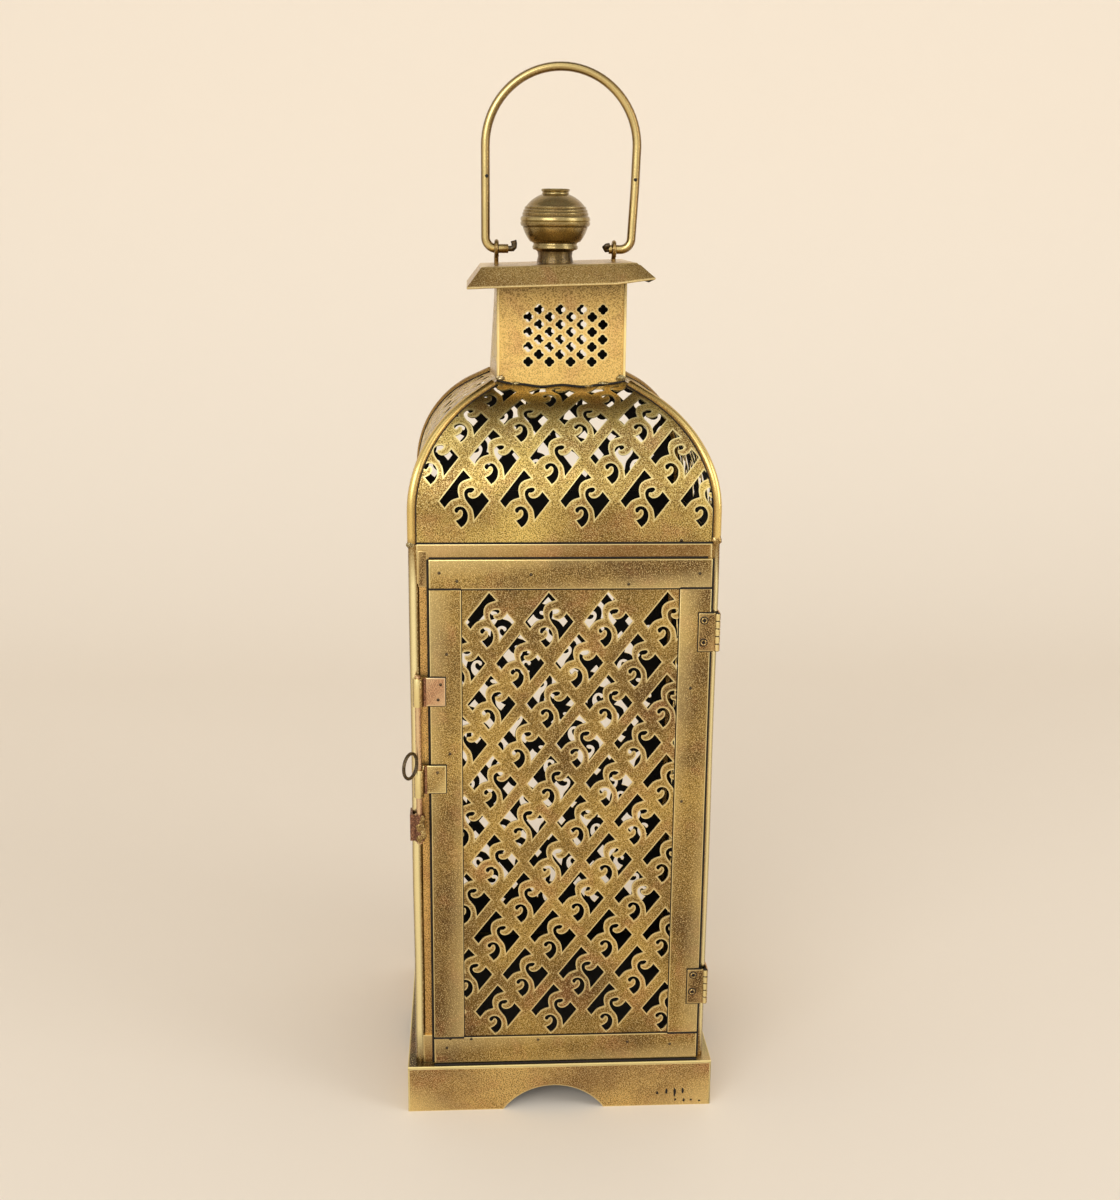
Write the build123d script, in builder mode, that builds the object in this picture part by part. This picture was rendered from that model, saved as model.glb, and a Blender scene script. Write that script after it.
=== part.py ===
from build123d import *
from math import cos, radians, tan
import os

os.makedirs("parts", exist_ok=True)

# All sizes are in millimetres, +Z is up and the door faces -Y.
# Base
base_width = 160.0
base_ledge = 4.0
base_height = 26.0
base_sheet = 1.2
arch_width = 53.0
arch_rise = 13.5
arch_shift = -3.5

# Body: corner posts, walls and the strips that edge them
body_height = 278.5
post_diameter = 5.8
wall_inset = 1.2
wall_sheet = 1.0
strip_thickness = 1.0
header_height = 19.5
sill_height = 16.0
jamb_width = 9.0

# Door
door_gap = 0.3
door_floor_gap = 1.0
door_header_show = 7.2
door_latch_inset = 10.0
door_hinge_inset = 4.0
door_sheet = 0.8
door_strip = 1.0
rail_width = 14.5
stile_width = 15.5

# Pierced scroll pattern of the sheets
scroll_pitch = 29.1
scroll_row = 21.0
scroll_top_gap = 2.0
door_lean = 0.4
sheet_margin = 2.0
wall_margin = 8.0

# Hinges
hinge_height = 19.4
hinge_end_margin = 29.5
hinge_rise = 2.4
hinge_leaf_width = 6.0
hinge_leaf_thickness = 0.8
post_leaf_thickness = 1.2
post_leaf_seat = 0.4
post_leaf_depth = 7.0
knuckle_count = 5
knuckle_radius = 1.5
knuckle_gap = 0.15
hinge_out = 0.3
pin_radius = 0.7
pin_clearance = 0.05

# Latch
bolt_radius = 1.5
bolt_clearance = 0.1
bolt_inset = 4.0
bolt_foot_show = 1.6
bolt_head_show = 1.3
sleeve_radius = 2.5
sleeve_gap = 0.7
sleeve_height = 14.5
latch_plate_reach = 7.5
latch_plate_thickness = 1.0
upper_sleeve_rise = 61.7
lower_sleeve_rise = 14.2
keeper_height = 14.0
keeper_drop = 9.0
keeper_web = 1.0
ring_radius = 6.3
ring_wire_radius = 0.8
ring_rise = 4.5
ring_turn = -29.0

# Dome
dome_height = 74.5
dome_sheet = 0.8
dome_slope = 29.0
shoulder_radius = 60.0
rib_width = 3.2
rib_thickness = 1.5
dome_margin = 8.0
dome_edge_margin = 3.5
dome_scroll_shift = 9.2

# Chimney and cap
chimney_width = 63.0
chimney_sheet = 0.8
chimney_seat = 1.5
chimney_show = 47.0
hole_pitch = 5.3
hole_row = 7.35
hole_width = 5.2
hole_shift = 2.0
hole_drop = 1.5
hole_columns = 8
hole_rows = 4
cap_overhang = 6.5
cap_flare = 7.7
cap_height = 9.6
cap_sheet = 1.0
crown_shift = -1.8

# Finial
neck_radius = 9.2
neck_waist = 8.6
neck_height = 7.0
collar_radius = 11.7
collar_height = 3.4
ball_foot_radius = 10.9
ball_radius = 16.4
ball_low_height = 7.6
band_radius = 17.9
band_height = 5.8
ball_high_height = 10.9
lip_radius = 7.4
lip_height = 2.0

# Eyes and bail
eye_spread = 60.0
eye_rise = 6.9
eye_radius = 4.7
eye_thickness = 2.4
eye_foot_width = 4.4
bail_span = 76.4
bail_shift = 2.75
bail_wire_radius = 2.25
bail_sides = 8
bail_clearance = 0.1
bail_height = 88.5
bail_bend = 3.5
bail_lug = 15.0
lug_head_radius = 3.0
lug_head_length = 1.5

# How far a cutting tool runs past the sheet that it cuts
overrun = 3.0

# Places worked out from the sizes above
base_half = base_width / 2
body_half = base_half - base_ledge
body_top = base_height + body_height
post_radius = post_diameter / 2
post_centre = body_half - post_radius
wall_face = body_half - wall_inset
strip_face = wall_face + strip_thickness
door_back = body_half + door_gap
door_strip_back = door_back + door_sheet
door_face = door_strip_back + door_strip
door_left = door_latch_inset - body_half
door_right = body_half - door_hinge_inset
door_low = base_height + door_floor_gap
door_top = body_top - door_header_show
door_middle = (door_low + door_top) / 2
dome_top = body_top + dome_height
chimney_half = chimney_width / 2
cap_top = dome_top + chimney_show + cap_height
pivot_height = cap_top + eye_rise

# A quarter turn for each side, seen from above
side_turns = {"front": 0, "right": 90, "back": 180, "left": 270}
corner_turns = {"front_right": 0, "back_right": 90, "back_left": 180, "front_left": 270}


def save(piece, name):
    """Names a piece and writes its file"""
    piece.label = name
    export_step(piece, f"parts/{name}.step")


def save_turned(piece, kind, turns):
    """Writes a copy of the piece for each place, turned about the middle of the lantern"""
    for place, turn in turns.items():
        with BuildPart() as copy:
            add(piece, rotation=(0, 0, turn))
        save(copy.part, f"{kind}_{place}")


def front_plane(distance):
    """Upright plane on the door's side, with X to the right and Y up"""
    return Plane(origin=(0, -distance, 0), x_dir=(1, 0, 0), z_dir=(0, -1, 0))


def span(left, right, low, high):
    """Rectangle between two sides and two heights"""
    with Locations(((left + right) / 2, (low + high) / 2)):
        Rectangle(right - left, high - low)


def mitre(reach, low, high):
    """Keeps the part of the front sheet between the two diagonals of the plan"""
    with BuildSketch(Plane.XY.offset(low)) as quarter:
        Polygon((0, 0), (-reach, -reach), (reach, -reach), align=None)
    extrude(quarter.sketch, amount=high - low, mode=Mode.INTERSECT)


def cut_posts():
    """Seats a piece on the round corner posts"""
    with BuildSketch(Plane.XY) as rounds:
        with GridLocations(2 * post_centre, 2 * post_centre, 2, 2):
            Circle(post_radius)
    extrude(rounds.sketch, amount=dome_top, mode=Mode.SUBTRACT)


# Base: a flat plate on four mitred walls, each with a low arch
skirt_top = base_height - base_sheet
with BuildPart() as base_plate:
    with BuildSketch(Plane.XY.offset(skirt_top)):
        Rectangle(base_width, base_width)
    extrude(amount=base_sheet)
save(base_plate.part, "base_plate")

arch_left = arch_shift - arch_width / 2
arch_right = arch_shift + arch_width / 2
with BuildPart() as skirt:
    with BuildSketch(front_plane(base_half)):
        span(-base_half, base_half, 0, skirt_top)
        with BuildLine():
            ThreePointArc((arch_left, 0), (arch_shift, arch_rise), (arch_right, 0))
            Line((arch_left, 0), (arch_right, 0))
        make_face(mode=Mode.SUBTRACT)
    extrude(amount=-base_sheet)
    mitre(base_half, 0, skirt_top)
save_turned(skirt.part, "skirt", side_turns)

# Corner posts
with BuildPart() as post:
    with BuildSketch(Plane.XY.offset(base_height)):
        with Locations((post_centre, -post_centre)):
            Circle(post_radius)
    extrude(amount=body_height)
save_turned(post.part, "post", corner_turns)

# The scroll's openings hang from a tip at the origin; shares are of the pitch and of the row.
# Their round stretches are cut as a few chords, to keep the many openings light.
upper_left_shares = (
    (0, 0), (0.121, -0.19), (-0.085, -0.38),
    (-0.074, -0.63), (-0.312, -0.87), (-0.4, -0.714),
)
leaf_shares = (
    (0.423, -0.707), (0.302, -0.503), (0.16, -0.65),
    (0.023, -0.476), (0.06, -0.75), (0.177, -1.15),
)
comma_shares = (
    (-0.14, -0.9), (-0.04, -0.84), (0.06, -1.0),
    (-0.042, -1.333), (-0.135, -1.17), (-0.01, -1.03),
)
lattice_shares = ((0, 0), (0.423, -0.707), (0.065, -1.265), (-0.4, -0.714))


def opening(shares):
    """One opening of the pattern"""
    with BuildSketch() as outline:
        Polygon(*[(across * scroll_pitch, up * scroll_row) for across, up in shares], align=None)
    return outline.sketch


door_openings = [opening(shares) for shares in (upper_left_shares, leaf_shares, comma_shares)]
lattice_opening = opening(lattice_shares)
pattern_drop = scroll_row * max(-up for across, up in comma_shares)


def scroll_places(shape, tip, lean, low, sheet, window):
    """Places in whole rows down to a low edge, where an opening is on the sheet and shows in the window"""
    box = shape.bounding_box()
    sheet_left, sheet_right = sheet
    window_left, window_right = window
    rows = 1 + int((tip[1] - pattern_drop - low) / scroll_row)
    columns = 2 + int((sheet_right - sheet_left) / scroll_pitch)
    places = []
    for row in range(rows):
        for column in range(-columns, columns):
            across = tip[0] + (column + (row % 2) / 2) * scroll_pitch + row * lean
            fits = sheet_left <= across + box.min.X and across + box.max.X <= sheet_right
            shows = window_left < across + box.max.X and across + box.min.X < window_right
            if fits and shows:
                places.append((across, tip[1] - row * scroll_row))
    return places


# Pierced walls on three sides, with a header and a sill strip outside each
wall_tip = (0, body_top - header_height - scroll_top_gap)
wall_room = post_centre - wall_margin
wall_low = base_height + wall_margin
wall_window = (-wall_room, wall_room)
wall_reach = (-wall_room - scroll_pitch, wall_room + scroll_pitch)
with BuildSketch() as wall_lattice:
    with Locations(*scroll_places(lattice_opening, wall_tip, 0, wall_low, wall_reach, wall_window)):
        add(lattice_opening)
    with Locations((0, wall_low)):
        Rectangle(2 * wall_room, body_height, align=(Align.CENTER, Align.MIN), mode=Mode.INTERSECT)
with BuildPart() as wall:
    with BuildSketch(front_plane(wall_face)):
        span(-post_centre, post_centre, base_height, body_top)
        add(wall_lattice.sketch, mode=Mode.SUBTRACT)
    extrude(amount=-wall_sheet)
    cut_posts()
plain_turns = {side: turn for side, turn in side_turns.items() if side != "front"}
save_turned(wall.part, "wall", plain_turns)


def edge_strip(low, high, thickness):
    """Strip between two posts, on the outer face of a wall"""
    with BuildPart() as strip:
        with BuildSketch(front_plane(strip_face)):
            span(-post_centre, post_centre, low, high)
        extrude(amount=-thickness)
        cut_posts()
    return strip.part


header_low = body_top - header_height
sill_top = base_height + sill_height
save_turned(edge_strip(header_low, body_top, strip_thickness), "header", plain_turns)
save_turned(edge_strip(base_height, sill_top, strip_thickness), "sill", plain_turns)

# The doorway's own header and sill take the place of the wall, with a jamb strip down each post
doorway_thickness = strip_thickness + wall_sheet
save(edge_strip(header_low, body_top, doorway_thickness), "header_front")
save(edge_strip(base_height, sill_top, doorway_thickness), "sill_front")
for hand, turn_sign in (("left", -1), ("right", 1)):
    with BuildPart() as jamb:
        with BuildSketch(front_plane(wall_face)):
            with Locations((turn_sign * (post_centre - jamb_width / 2), (sill_top + header_low) / 2)):
                Rectangle(jamb_width, header_low - sill_top)
        extrude(amount=-wall_sheet)
        cut_posts()
    save(jamb.part, f"jamb_{hand}")

# Door: a pierced sheet behind four strips, the rails running over the ends of the stiles
opening_low = door_low + rail_width
opening_top = door_top - rail_width
door_tip = (door_left + scroll_pitch, opening_top - scroll_top_gap)
door_reach = (door_left + sheet_margin, door_right - sheet_margin)
door_window = (door_left + stile_width, door_right - stile_width)
with BuildPart() as door_panel:
    with BuildSketch(front_plane(door_strip_back)):
        span(door_left, door_right, door_low, door_top)
        for shape in door_openings:
            with Locations(*scroll_places(shape, door_tip, door_lean, opening_low, door_reach, door_window)):
                add(shape, mode=Mode.SUBTRACT)
    extrude(amount=-door_sheet)
save(door_panel.part, "door_panel")

door_strips = {
    "door_top_rail": (door_left, door_right, opening_top, door_top),
    "door_bottom_rail": (door_left, door_right, door_low, opening_low),
    "door_left_stile": (door_left, door_left + stile_width, opening_low, opening_top),
    "door_right_stile": (door_right - stile_width, door_right, opening_low, opening_top),
}
for name, edges in door_strips.items():
    with BuildPart() as strip:
        with BuildSketch(front_plane(door_face)):
            span(*edges)
        extrude(amount=-door_strip)
    save(strip.part, name)

# Hinges: the barrel stands outside the door's face, in line with the outer side of the post
hinge_leaf_face = door_face + hinge_leaf_thickness
post_leaf_inner = body_half - post_leaf_seat
post_leaf_outer = post_leaf_inner + post_leaf_thickness
barrel_across = post_leaf_outer - knuckle_radius
barrel_out = door_face + hinge_out
barrel_space = knuckle_radius + door_gap
knuckle_pitch = hinge_height / knuckle_count
hinge_feet = {
    "upper": door_top - hinge_end_margin - hinge_height + hinge_rise,
    "lower": door_low + hinge_end_margin + hinge_rise,
}


def barrel_round(foot, height, radius):
    """Disc about the hinge's axis, for a knuckle, the pin or a bore"""
    with BuildSketch(Plane.XY.offset(foot)) as disc:
        with Locations((barrel_across, -barrel_out)):
            Circle(radius)
    return {"to_extrude": disc.sketch, "amount": height}


def knuckles(foot, first, tab_sketch):
    """Every other knuckle of a barrel, each with the tab that ties it to its leaf"""
    for index in range(first, knuckle_count, 2):
        knuckle_foot = foot + index * knuckle_pitch + knuckle_gap / 2
        knuckle_height = knuckle_pitch - knuckle_gap
        extrude(**barrel_round(knuckle_foot, knuckle_height, knuckle_radius))
        with BuildSketch(Plane.XY.offset(knuckle_foot)) as tab:
            add(tab_sketch)
        extrude(tab.sketch, amount=knuckle_height)


door_leaf_right = barrel_across - barrel_space
door_leaf_left = door_right - hinge_leaf_width
with BuildSketch() as door_tab:
    span(door_leaf_left, barrel_across, -hinge_leaf_face, -door_face)
post_leaf_front = -barrel_out + barrel_space
with BuildSketch() as post_tab:
    span(post_leaf_inner, post_leaf_outer, -barrel_out, post_leaf_front)

for level, foot in hinge_feet.items():
    with BuildPart() as door_leaf:
        with BuildSketch(front_plane(hinge_leaf_face)):
            span(door_leaf_left, door_leaf_right, foot, foot + hinge_height)
        extrude(amount=-hinge_leaf_thickness)
        knuckles(foot, 1, door_tab.sketch)
        extrude(**barrel_round(foot, hinge_height, pin_radius + pin_clearance), mode=Mode.SUBTRACT)
    save(door_leaf.part, f"hinge_{level}_door_leaf")
    with BuildPart() as post_leaf:
        with BuildSketch(Plane.XY.offset(foot)):
            span(post_leaf_inner, post_leaf_outer, post_leaf_front, post_leaf_front + post_leaf_depth)
        extrude(amount=hinge_height)
        knuckles(foot, 0, post_tab.sketch)
        extrude(**barrel_round(foot + knuckle_gap, hinge_height - 2 * knuckle_gap, pin_radius))
        cut_posts()
    save(post_leaf.part, f"hinge_{level}_post_leaf")

# Latch: a bolt slides in two sleeves on the door and drops into a keeper on the post
bolt_across = bolt_inset - body_half
bolt_out = body_half + sleeve_radius + sleeve_gap
bolt_bore = bolt_radius + bolt_clearance
sleeve_feet = {
    "upper": door_middle + upper_sleeve_rise,
    "lower": door_middle + lower_sleeve_rise,
}
keeper_foot = door_middle - keeper_drop


def bolt_tube(foot, height):
    """Rolled sleeve round the bolt"""
    with BuildSketch(Plane.XY.offset(foot)) as tube:
        with Locations((bolt_across, -bolt_out)):
            Circle(sleeve_radius)
    extrude(tube.sketch, amount=height)


def bolt_hole(foot, height):
    """Bore of a sleeve"""
    with BuildSketch(Plane.XY.offset(foot)) as hole:
        with Locations((bolt_across, -bolt_out)):
            Circle(bolt_bore)
    extrude(hole.sketch, amount=height, mode=Mode.SUBTRACT)


for level, foot in sleeve_feet.items():
    with BuildPart() as sleeve:
        bolt_tube(foot, sleeve_height)
        with BuildSketch(front_plane(door_face + latch_plate_thickness)):
            span(bolt_across, door_left + latch_plate_reach, foot, foot + sleeve_height)
        extrude(amount=-latch_plate_thickness)
        bolt_hole(foot, sleeve_height)
    save(sleeve.part, f"latch_{level}_sleeve")

keeper_outer = -body_half + post_leaf_seat - post_leaf_thickness
keeper_front = -bolt_out - keeper_web / 2
with BuildPart() as keeper:
    bolt_tube(keeper_foot, keeper_height)
    with BuildSketch(Plane.XY.offset(keeper_foot)):
        span(keeper_outer, bolt_across, keeper_front, keeper_front + keeper_web)
        span(keeper_outer, keeper_outer + post_leaf_thickness, keeper_front, post_radius - post_centre)
    extrude(amount=keeper_height)
    bolt_hole(keeper_foot, keeper_height)
    cut_posts()
save(keeper.part, "latch_keeper")

bolt_foot = keeper_foot - bolt_foot_show
bolt_head = sleeve_feet["upper"] + sleeve_height + bolt_head_show
with BuildPart() as bolt:
    with BuildSketch(Plane.XY.offset(bolt_foot)):
        with Locations((bolt_across, -bolt_out)):
            Circle(bolt_radius)
    extrude(amount=bolt_head - bolt_foot)
save(bolt.part, "latch_bolt")

# The ring is soldered to the bolt by its side and stands out to the front left
ring_height = sleeve_feet["lower"] + sleeve_height + ring_rise
ring_reach = bolt_radius + ring_radius + ring_wire_radius / 2
ring_plane = Plane((bolt_across, -bolt_out, ring_height)).rotated((0, 0, ring_turn))
ring_centre = ring_plane.from_local_coords((0, -ring_reach, 0))
with BuildPart() as ring:
    with BuildSketch(ring_plane):
        with Locations((0, -ring_reach - ring_radius)):
            RegularPolygon(ring_wire_radius, 6)
    revolve(axis=Axis(ring_centre, ring_plane.x_dir))
    with BuildSketch(Plane.XY.offset(bolt_foot)):
        with Locations((bolt_across, -bolt_out)):
            Circle(bolt_radius)
    extrude(amount=bolt_head - bolt_foot, mode=Mode.SUBTRACT)
save(ring.part, "bolt_ring")

# Dome: a vault of four curved faces that rise from the walls to the chimney
slope = radians(dome_slope)
room_share = 0.98


def dome_corners(inset):
    """Foot, knee and peak of a face moved in by the inset, and the radius that rounds its knee"""
    half = wall_face - inset
    peak = dome_top - inset / cos(slope)
    knee = peak - (half - chimney_half) * tan(slope)
    room = min(knee - body_top, (half - chimney_half) / cos(slope))
    largest = room_share * room / tan((radians(90) - slope) / 2)
    corners = ((half, body_top), (half, knee), (chimney_half, peak))
    return corners, min(shoulder_radius - inset, largest)


def vault(inset):
    """Solid under the four faces of the dome"""
    corners, radius = dome_corners(inset)
    outline = [*corners, *[(-across, height) for across, height in reversed(corners)]]
    with BuildPart() as solid:
        for profile, mode in ((Plane.XZ, Mode.ADD), (Plane.YZ, Mode.INTERSECT)):
            with BuildSketch(profile):
                Polygon(*outline, align=None)
                fillet(vertices().group_by(Axis.Y)[1], radius)
            extrude(amount=base_width, both=True, mode=mode)
    return solid.part


dome_outer = vault(0)
dome_inner = vault(dome_sheet)
corners, knee_radius = dome_corners(0)
with BuildLine(Plane(origin=(0, 0, 0), x_dir=(0, -1, 0), z_dir=(-1, 0, 0))) as dome_profile:
    Polyline(*corners)
    fillet(dome_profile.vertices().sort_by(Axis.Z)[1], knee_radius)
dome_curve = dome_profile.wire()

lattice_box = lattice_opening.bounding_box()
dome_rows = 1 + int((dome_curve.length - dome_margin) / scroll_row)


def on_curve(rise):
    """Point of the dome's front face at a height measured along the sheet"""
    return dome_curve.position_at(rise, position_mode=PositionMode.LENGTH)


def dome_cuts(row):
    """One row of the dome's openings, cut off short of the ribs and of the chimney"""
    tip_rise = dome_margin + pattern_drop + row * scroll_row
    middle = tip_rise + lattice_box.center().Y
    upward = dome_curve.tangent_at(middle, position_mode=PositionMode.LENGTH)
    outward = Vector(1, 0, 0).cross(upward)
    columns = int(base_width / scroll_pitch)
    across = [dome_scroll_shift + (c + (row % 2) / 2) * scroll_pitch for c in range(-columns, columns)]
    with BuildPart() as cuts:
        with BuildSketch(Plane(origin=on_curve(middle), x_dir=(1, 0, 0), z_dir=outward)):
            with Locations(*[(x, -lattice_box.center().Y) for x in across]):
                add(lattice_opening)
        extrude(amount=overrun, both=True)
        with BuildSketch(Plane.XY.offset(body_top)) as clear:
            with Locations((0, -dome_edge_margin)):
                Polygon((0, 0), (-base_width, -base_width), (base_width, -base_width), align=None)
            Rectangle(chimney_width + 2 * sheet_margin, chimney_width + 2 * sheet_margin, mode=Mode.SUBTRACT)
        extrude(clear.sketch, amount=dome_height + overrun, mode=Mode.INTERSECT)
    return cuts.part


with BuildPart() as dome_face:
    add(dome_outer)
    add(dome_inner, mode=Mode.SUBTRACT)
    with BuildSketch(Plane.XY.offset(body_top)):
        Rectangle(chimney_width, chimney_width)
    extrude(amount=dome_height, mode=Mode.SUBTRACT)
    mitre(base_width, body_top, dome_top)
    for row in range(dome_rows):
        add(dome_cuts(row), mode=Mode.SUBTRACT)
save_turned(dome_face.part, "dome", side_turns)

# Ribs fold over the corners of the dome and stand on the posts
with BuildPart() as rib:
    add(vault(-rib_thickness))
    add(dome_outer, mode=Mode.SUBTRACT)
    with BuildSketch(Plane.XY.offset(body_top)):
        Rectangle(base_width, rib_width, rotation=-45, align=(Align.MIN, Align.CENTER))
    extrude(amount=dome_height + overrun, mode=Mode.INTERSECT)
    with BuildSketch(Plane.XY.offset(body_top)):
        Rectangle(chimney_width, chimney_width)
    extrude(amount=dome_height + overrun, mode=Mode.SUBTRACT)
save_turned(rib.part, "rib", corner_turns)

# Chimney: four mitred walls with staggered columns of holes
chimney_foot = dome_top - chimney_seat
cap_under = cap_top - cap_sheet
hole_middle = dome_top + chimney_show / 2 - hole_drop
with BuildPart() as chimney_wall:
    with BuildSketch(front_plane(chimney_half)):
        span(-chimney_half, chimney_half, chimney_foot, cap_under)
        for stagger in (-1, 1):
            across = hole_shift + stagger * hole_pitch / 2
            with Locations((across, hole_middle + stagger * hole_row / 4)):
                with GridLocations(2 * hole_pitch, hole_row, hole_columns // 2, hole_rows):
                    RegularPolygon(hole_width / 2, 4, mode=Mode.SUBTRACT)
    extrude(amount=-chimney_sheet)
    mitre(base_width, chimney_foot, cap_under)
save_turned(chimney_wall.part, "chimney", side_turns)

# Cap: a sheet with sloped edges over the chimney; it and all that it carries sit a little to the left
cap_low = cap_top - cap_height
cap_top_width = chimney_width + 2 * cap_overhang
cap_low_width = cap_top_width + 2 * cap_flare
crown_middle = (crown_shift, 0, 0)
crown_plane = Plane(origin=crown_middle)
with BuildPart() as cap:
    with BuildSketch(crown_plane.offset(cap_low)):
        Rectangle(cap_low_width, cap_low_width)
    with BuildSketch(crown_plane.offset(cap_top)):
        Rectangle(cap_top_width, cap_top_width)
    loft(ruled=True)
    with BuildSketch(crown_plane.offset(cap_low)):
        Rectangle(cap_low_width - 2 * cap_sheet, cap_low_width - 2 * cap_sheet)
    with BuildSketch(crown_plane.offset(cap_under)):
        Rectangle(cap_top_width - 2 * cap_sheet, cap_top_width - 2 * cap_sheet)
    loft(ruled=True, mode=Mode.SUBTRACT)
save(cap.part, "cap")

# Finial: a turned ball with a band, on a collar and neck
neck_middle = cap_top + neck_height / 2
neck_top = cap_top + neck_height
collar_top = neck_top + collar_height
band_low = collar_top + ball_low_height
band_top = band_low + band_height
lip_low = band_top + ball_high_height
lip_top = lip_low + lip_height
ball_foot = (ball_foot_radius, collar_top)
ball_shoulder = (ball_radius, band_top)
with BuildPart() as finial:
    with BuildSketch(Plane(origin=crown_middle, x_dir=(1, 0, 0), z_dir=(0, -1, 0))):
        with BuildLine():
            neck = ThreePointArc((neck_radius, cap_top), (neck_waist, neck_middle), (neck_radius, neck_top))
            Polyline(neck @ 1, (collar_radius, neck_top), (collar_radius, collar_top), ball_foot)
            TangentArc((ball_radius, band_low), ball_foot, tangent=(0, -1))
            Polyline((ball_radius, band_low), (band_radius, band_low), (band_radius, band_top), ball_shoulder)
            TangentArc(ball_shoulder, (lip_radius, lip_low), tangent=(0, 1))
            Polyline((lip_radius, lip_low), (lip_radius, lip_top), (0, lip_top), (0, cap_top), neck @ 0)
        make_face()
    revolve(axis=Axis(crown_middle, (0, 0, 1)))
save(finial.part, "finial")

# Eyes on the cap carry the bail
lug_bore = bail_wire_radius + bail_clearance
for hand, side in (("left", -1), ("right", 1)):
    with BuildPart() as eye:
        with BuildSketch(Plane.YZ.offset(crown_shift + side * eye_spread / 2 - eye_thickness / 2)):
            with Locations((0, pivot_height)):
                Circle(eye_radius)
            span(-eye_foot_width / 2, eye_foot_width / 2, cap_top, pivot_height)
            with Locations((0, pivot_height)):
                Circle(lug_bore, mode=Mode.SUBTRACT)
        extrude(amount=eye_thickness)
    save(eye.part, f"eye_{hand}")

# Bail: a wire with round, headed lugs turned in at its feet; it sits a little to the right in its eyes
bail_middle = crown_shift + bail_shift
leg_left = bail_middle - bail_span / 2
leg_right = bail_middle + bail_span / 2
bend_height = pivot_height + bail_bend
crown_height = pivot_height + bail_height
spring_height = crown_height - bail_span / 2
lug_rounds = (
    (bail_bend, bail_lug - bail_bend, bail_wire_radius),
    (bail_lug, lug_head_length, lug_head_radius),
)
with BuildPart() as bail:
    with BuildLine(Plane.XZ) as bail_path:
        TangentArc((leg_left + bail_bend, pivot_height), (leg_left, bend_height), tangent=(-1, 0))
        Line((leg_left, bend_height), (leg_left, spring_height))
        ThreePointArc((leg_left, spring_height), (bail_middle, crown_height), (leg_right, spring_height))
        Line((leg_right, spring_height), (leg_right, bend_height))
        TangentArc((leg_right, bend_height), (leg_right - bail_bend, pivot_height), tangent=(0, -1))
    with BuildSketch(Plane.YZ.offset(leg_left + bail_bend)):
        with Locations((0, pivot_height)):
            RegularPolygon(bail_wire_radius, bail_sides)
    sweep(path=bail_path.wire())
    for leg, inward in ((leg_left, 1), (leg_right, -1)):
        for start, length, radius in lug_rounds:
            with BuildSketch(Plane.YZ.offset(leg + inward * start)):
                with Locations((0, pivot_height)):
                    Circle(radius)
            extrude(amount=inward * length)
save(bail.part, "bail")
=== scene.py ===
from math import asin, cos, pi, radians, sin, sqrt, tan

import bmesh
import bpy
from mathutils import Matrix, Vector, noise


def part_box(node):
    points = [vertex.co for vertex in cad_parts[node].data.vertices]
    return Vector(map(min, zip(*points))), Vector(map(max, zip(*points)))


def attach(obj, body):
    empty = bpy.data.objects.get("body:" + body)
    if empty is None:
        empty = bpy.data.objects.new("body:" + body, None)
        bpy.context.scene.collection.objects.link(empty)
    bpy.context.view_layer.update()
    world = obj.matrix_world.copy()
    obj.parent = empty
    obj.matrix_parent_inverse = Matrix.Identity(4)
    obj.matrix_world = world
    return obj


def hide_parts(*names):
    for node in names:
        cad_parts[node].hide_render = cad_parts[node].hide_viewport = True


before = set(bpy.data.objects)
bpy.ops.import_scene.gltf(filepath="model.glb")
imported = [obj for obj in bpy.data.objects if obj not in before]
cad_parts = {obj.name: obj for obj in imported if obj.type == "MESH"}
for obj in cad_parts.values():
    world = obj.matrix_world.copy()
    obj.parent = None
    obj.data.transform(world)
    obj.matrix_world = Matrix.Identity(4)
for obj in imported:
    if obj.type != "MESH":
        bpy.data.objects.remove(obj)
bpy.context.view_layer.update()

# Lengths are in metres, +Z is up and the door faces -Y.
mm = 0.001

# Pierced scroll: pitch along a row, pitch of the rows, and how far the rows of the door step to the right
scroll_pitch = 29.1 * mm
scroll_row = 21.0 * mm
scroll_rows = 11
scroll_columns = 8
scroll_top_gap = 2.0 * mm
door_lean = 0.4 * mm
sheet_margin = 2.0 * mm
wall_margin = 8.0 * mm
curve_steps = 3

# Cut edges are rubbed bright: the rim, how bright it is at its inner side, and how far the brightness fades
rubbed_rim = 0.5 * mm
rim_rub = 0.5
rub_fade = 0.8 * mm

# Strips and plates
sheet_thickness = 0.8 * mm
edge_round = 0.3 * mm
fold_radius = 0.8 * mm
stile_width = 15.5 * mm
rail_width = 14.5 * mm
arch_width = 53.0 * mm
arch_rise = 13.5 * mm
arch_shift = -3.5 * mm
arch_steps = 18
plate_thickness = 1.2 * mm
# A thin dark plate of painted shade on the floor inside: its thickness, rise and margin
shade_plate_depth = 0.1 * mm
shade_plate_rise = 0.15 * mm
shade_plate_margin = 1.0 * mm

# Dome; the faces seen edge-on from the front are thin, so that their openings show as slits
dome_slope = radians(29)
shoulder_radius = 60.0 * mm
dome_margin = 8.0 * mm
dome_scroll_shift = 9.2 * mm
dome_rows = 5
bend_rows = 26
slit_sheet = 0.35 * mm
chimney_lap = 1.0 * mm

# The dome's rim has sunk below the front of the chimney, in two shallow waves
rim_sag = 2.7 * mm
rim_ripple = 0.45 * mm
ripple_length = 21.0 * mm
ripple_crest = 11.0 * mm
sag_reach = 12.0 * mm
sag_rows = 10
rim_steps = 24

# Ribs: how far they stand proud, where the painted shade beside them lies, and how much of the roof's slope
# they climb
rib_radius = 2.3 * mm
rib_lift = 0.4 * mm
rib_seam = 2.6 * mm
rib_climb = 0.2
rib_steps = 30

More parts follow.
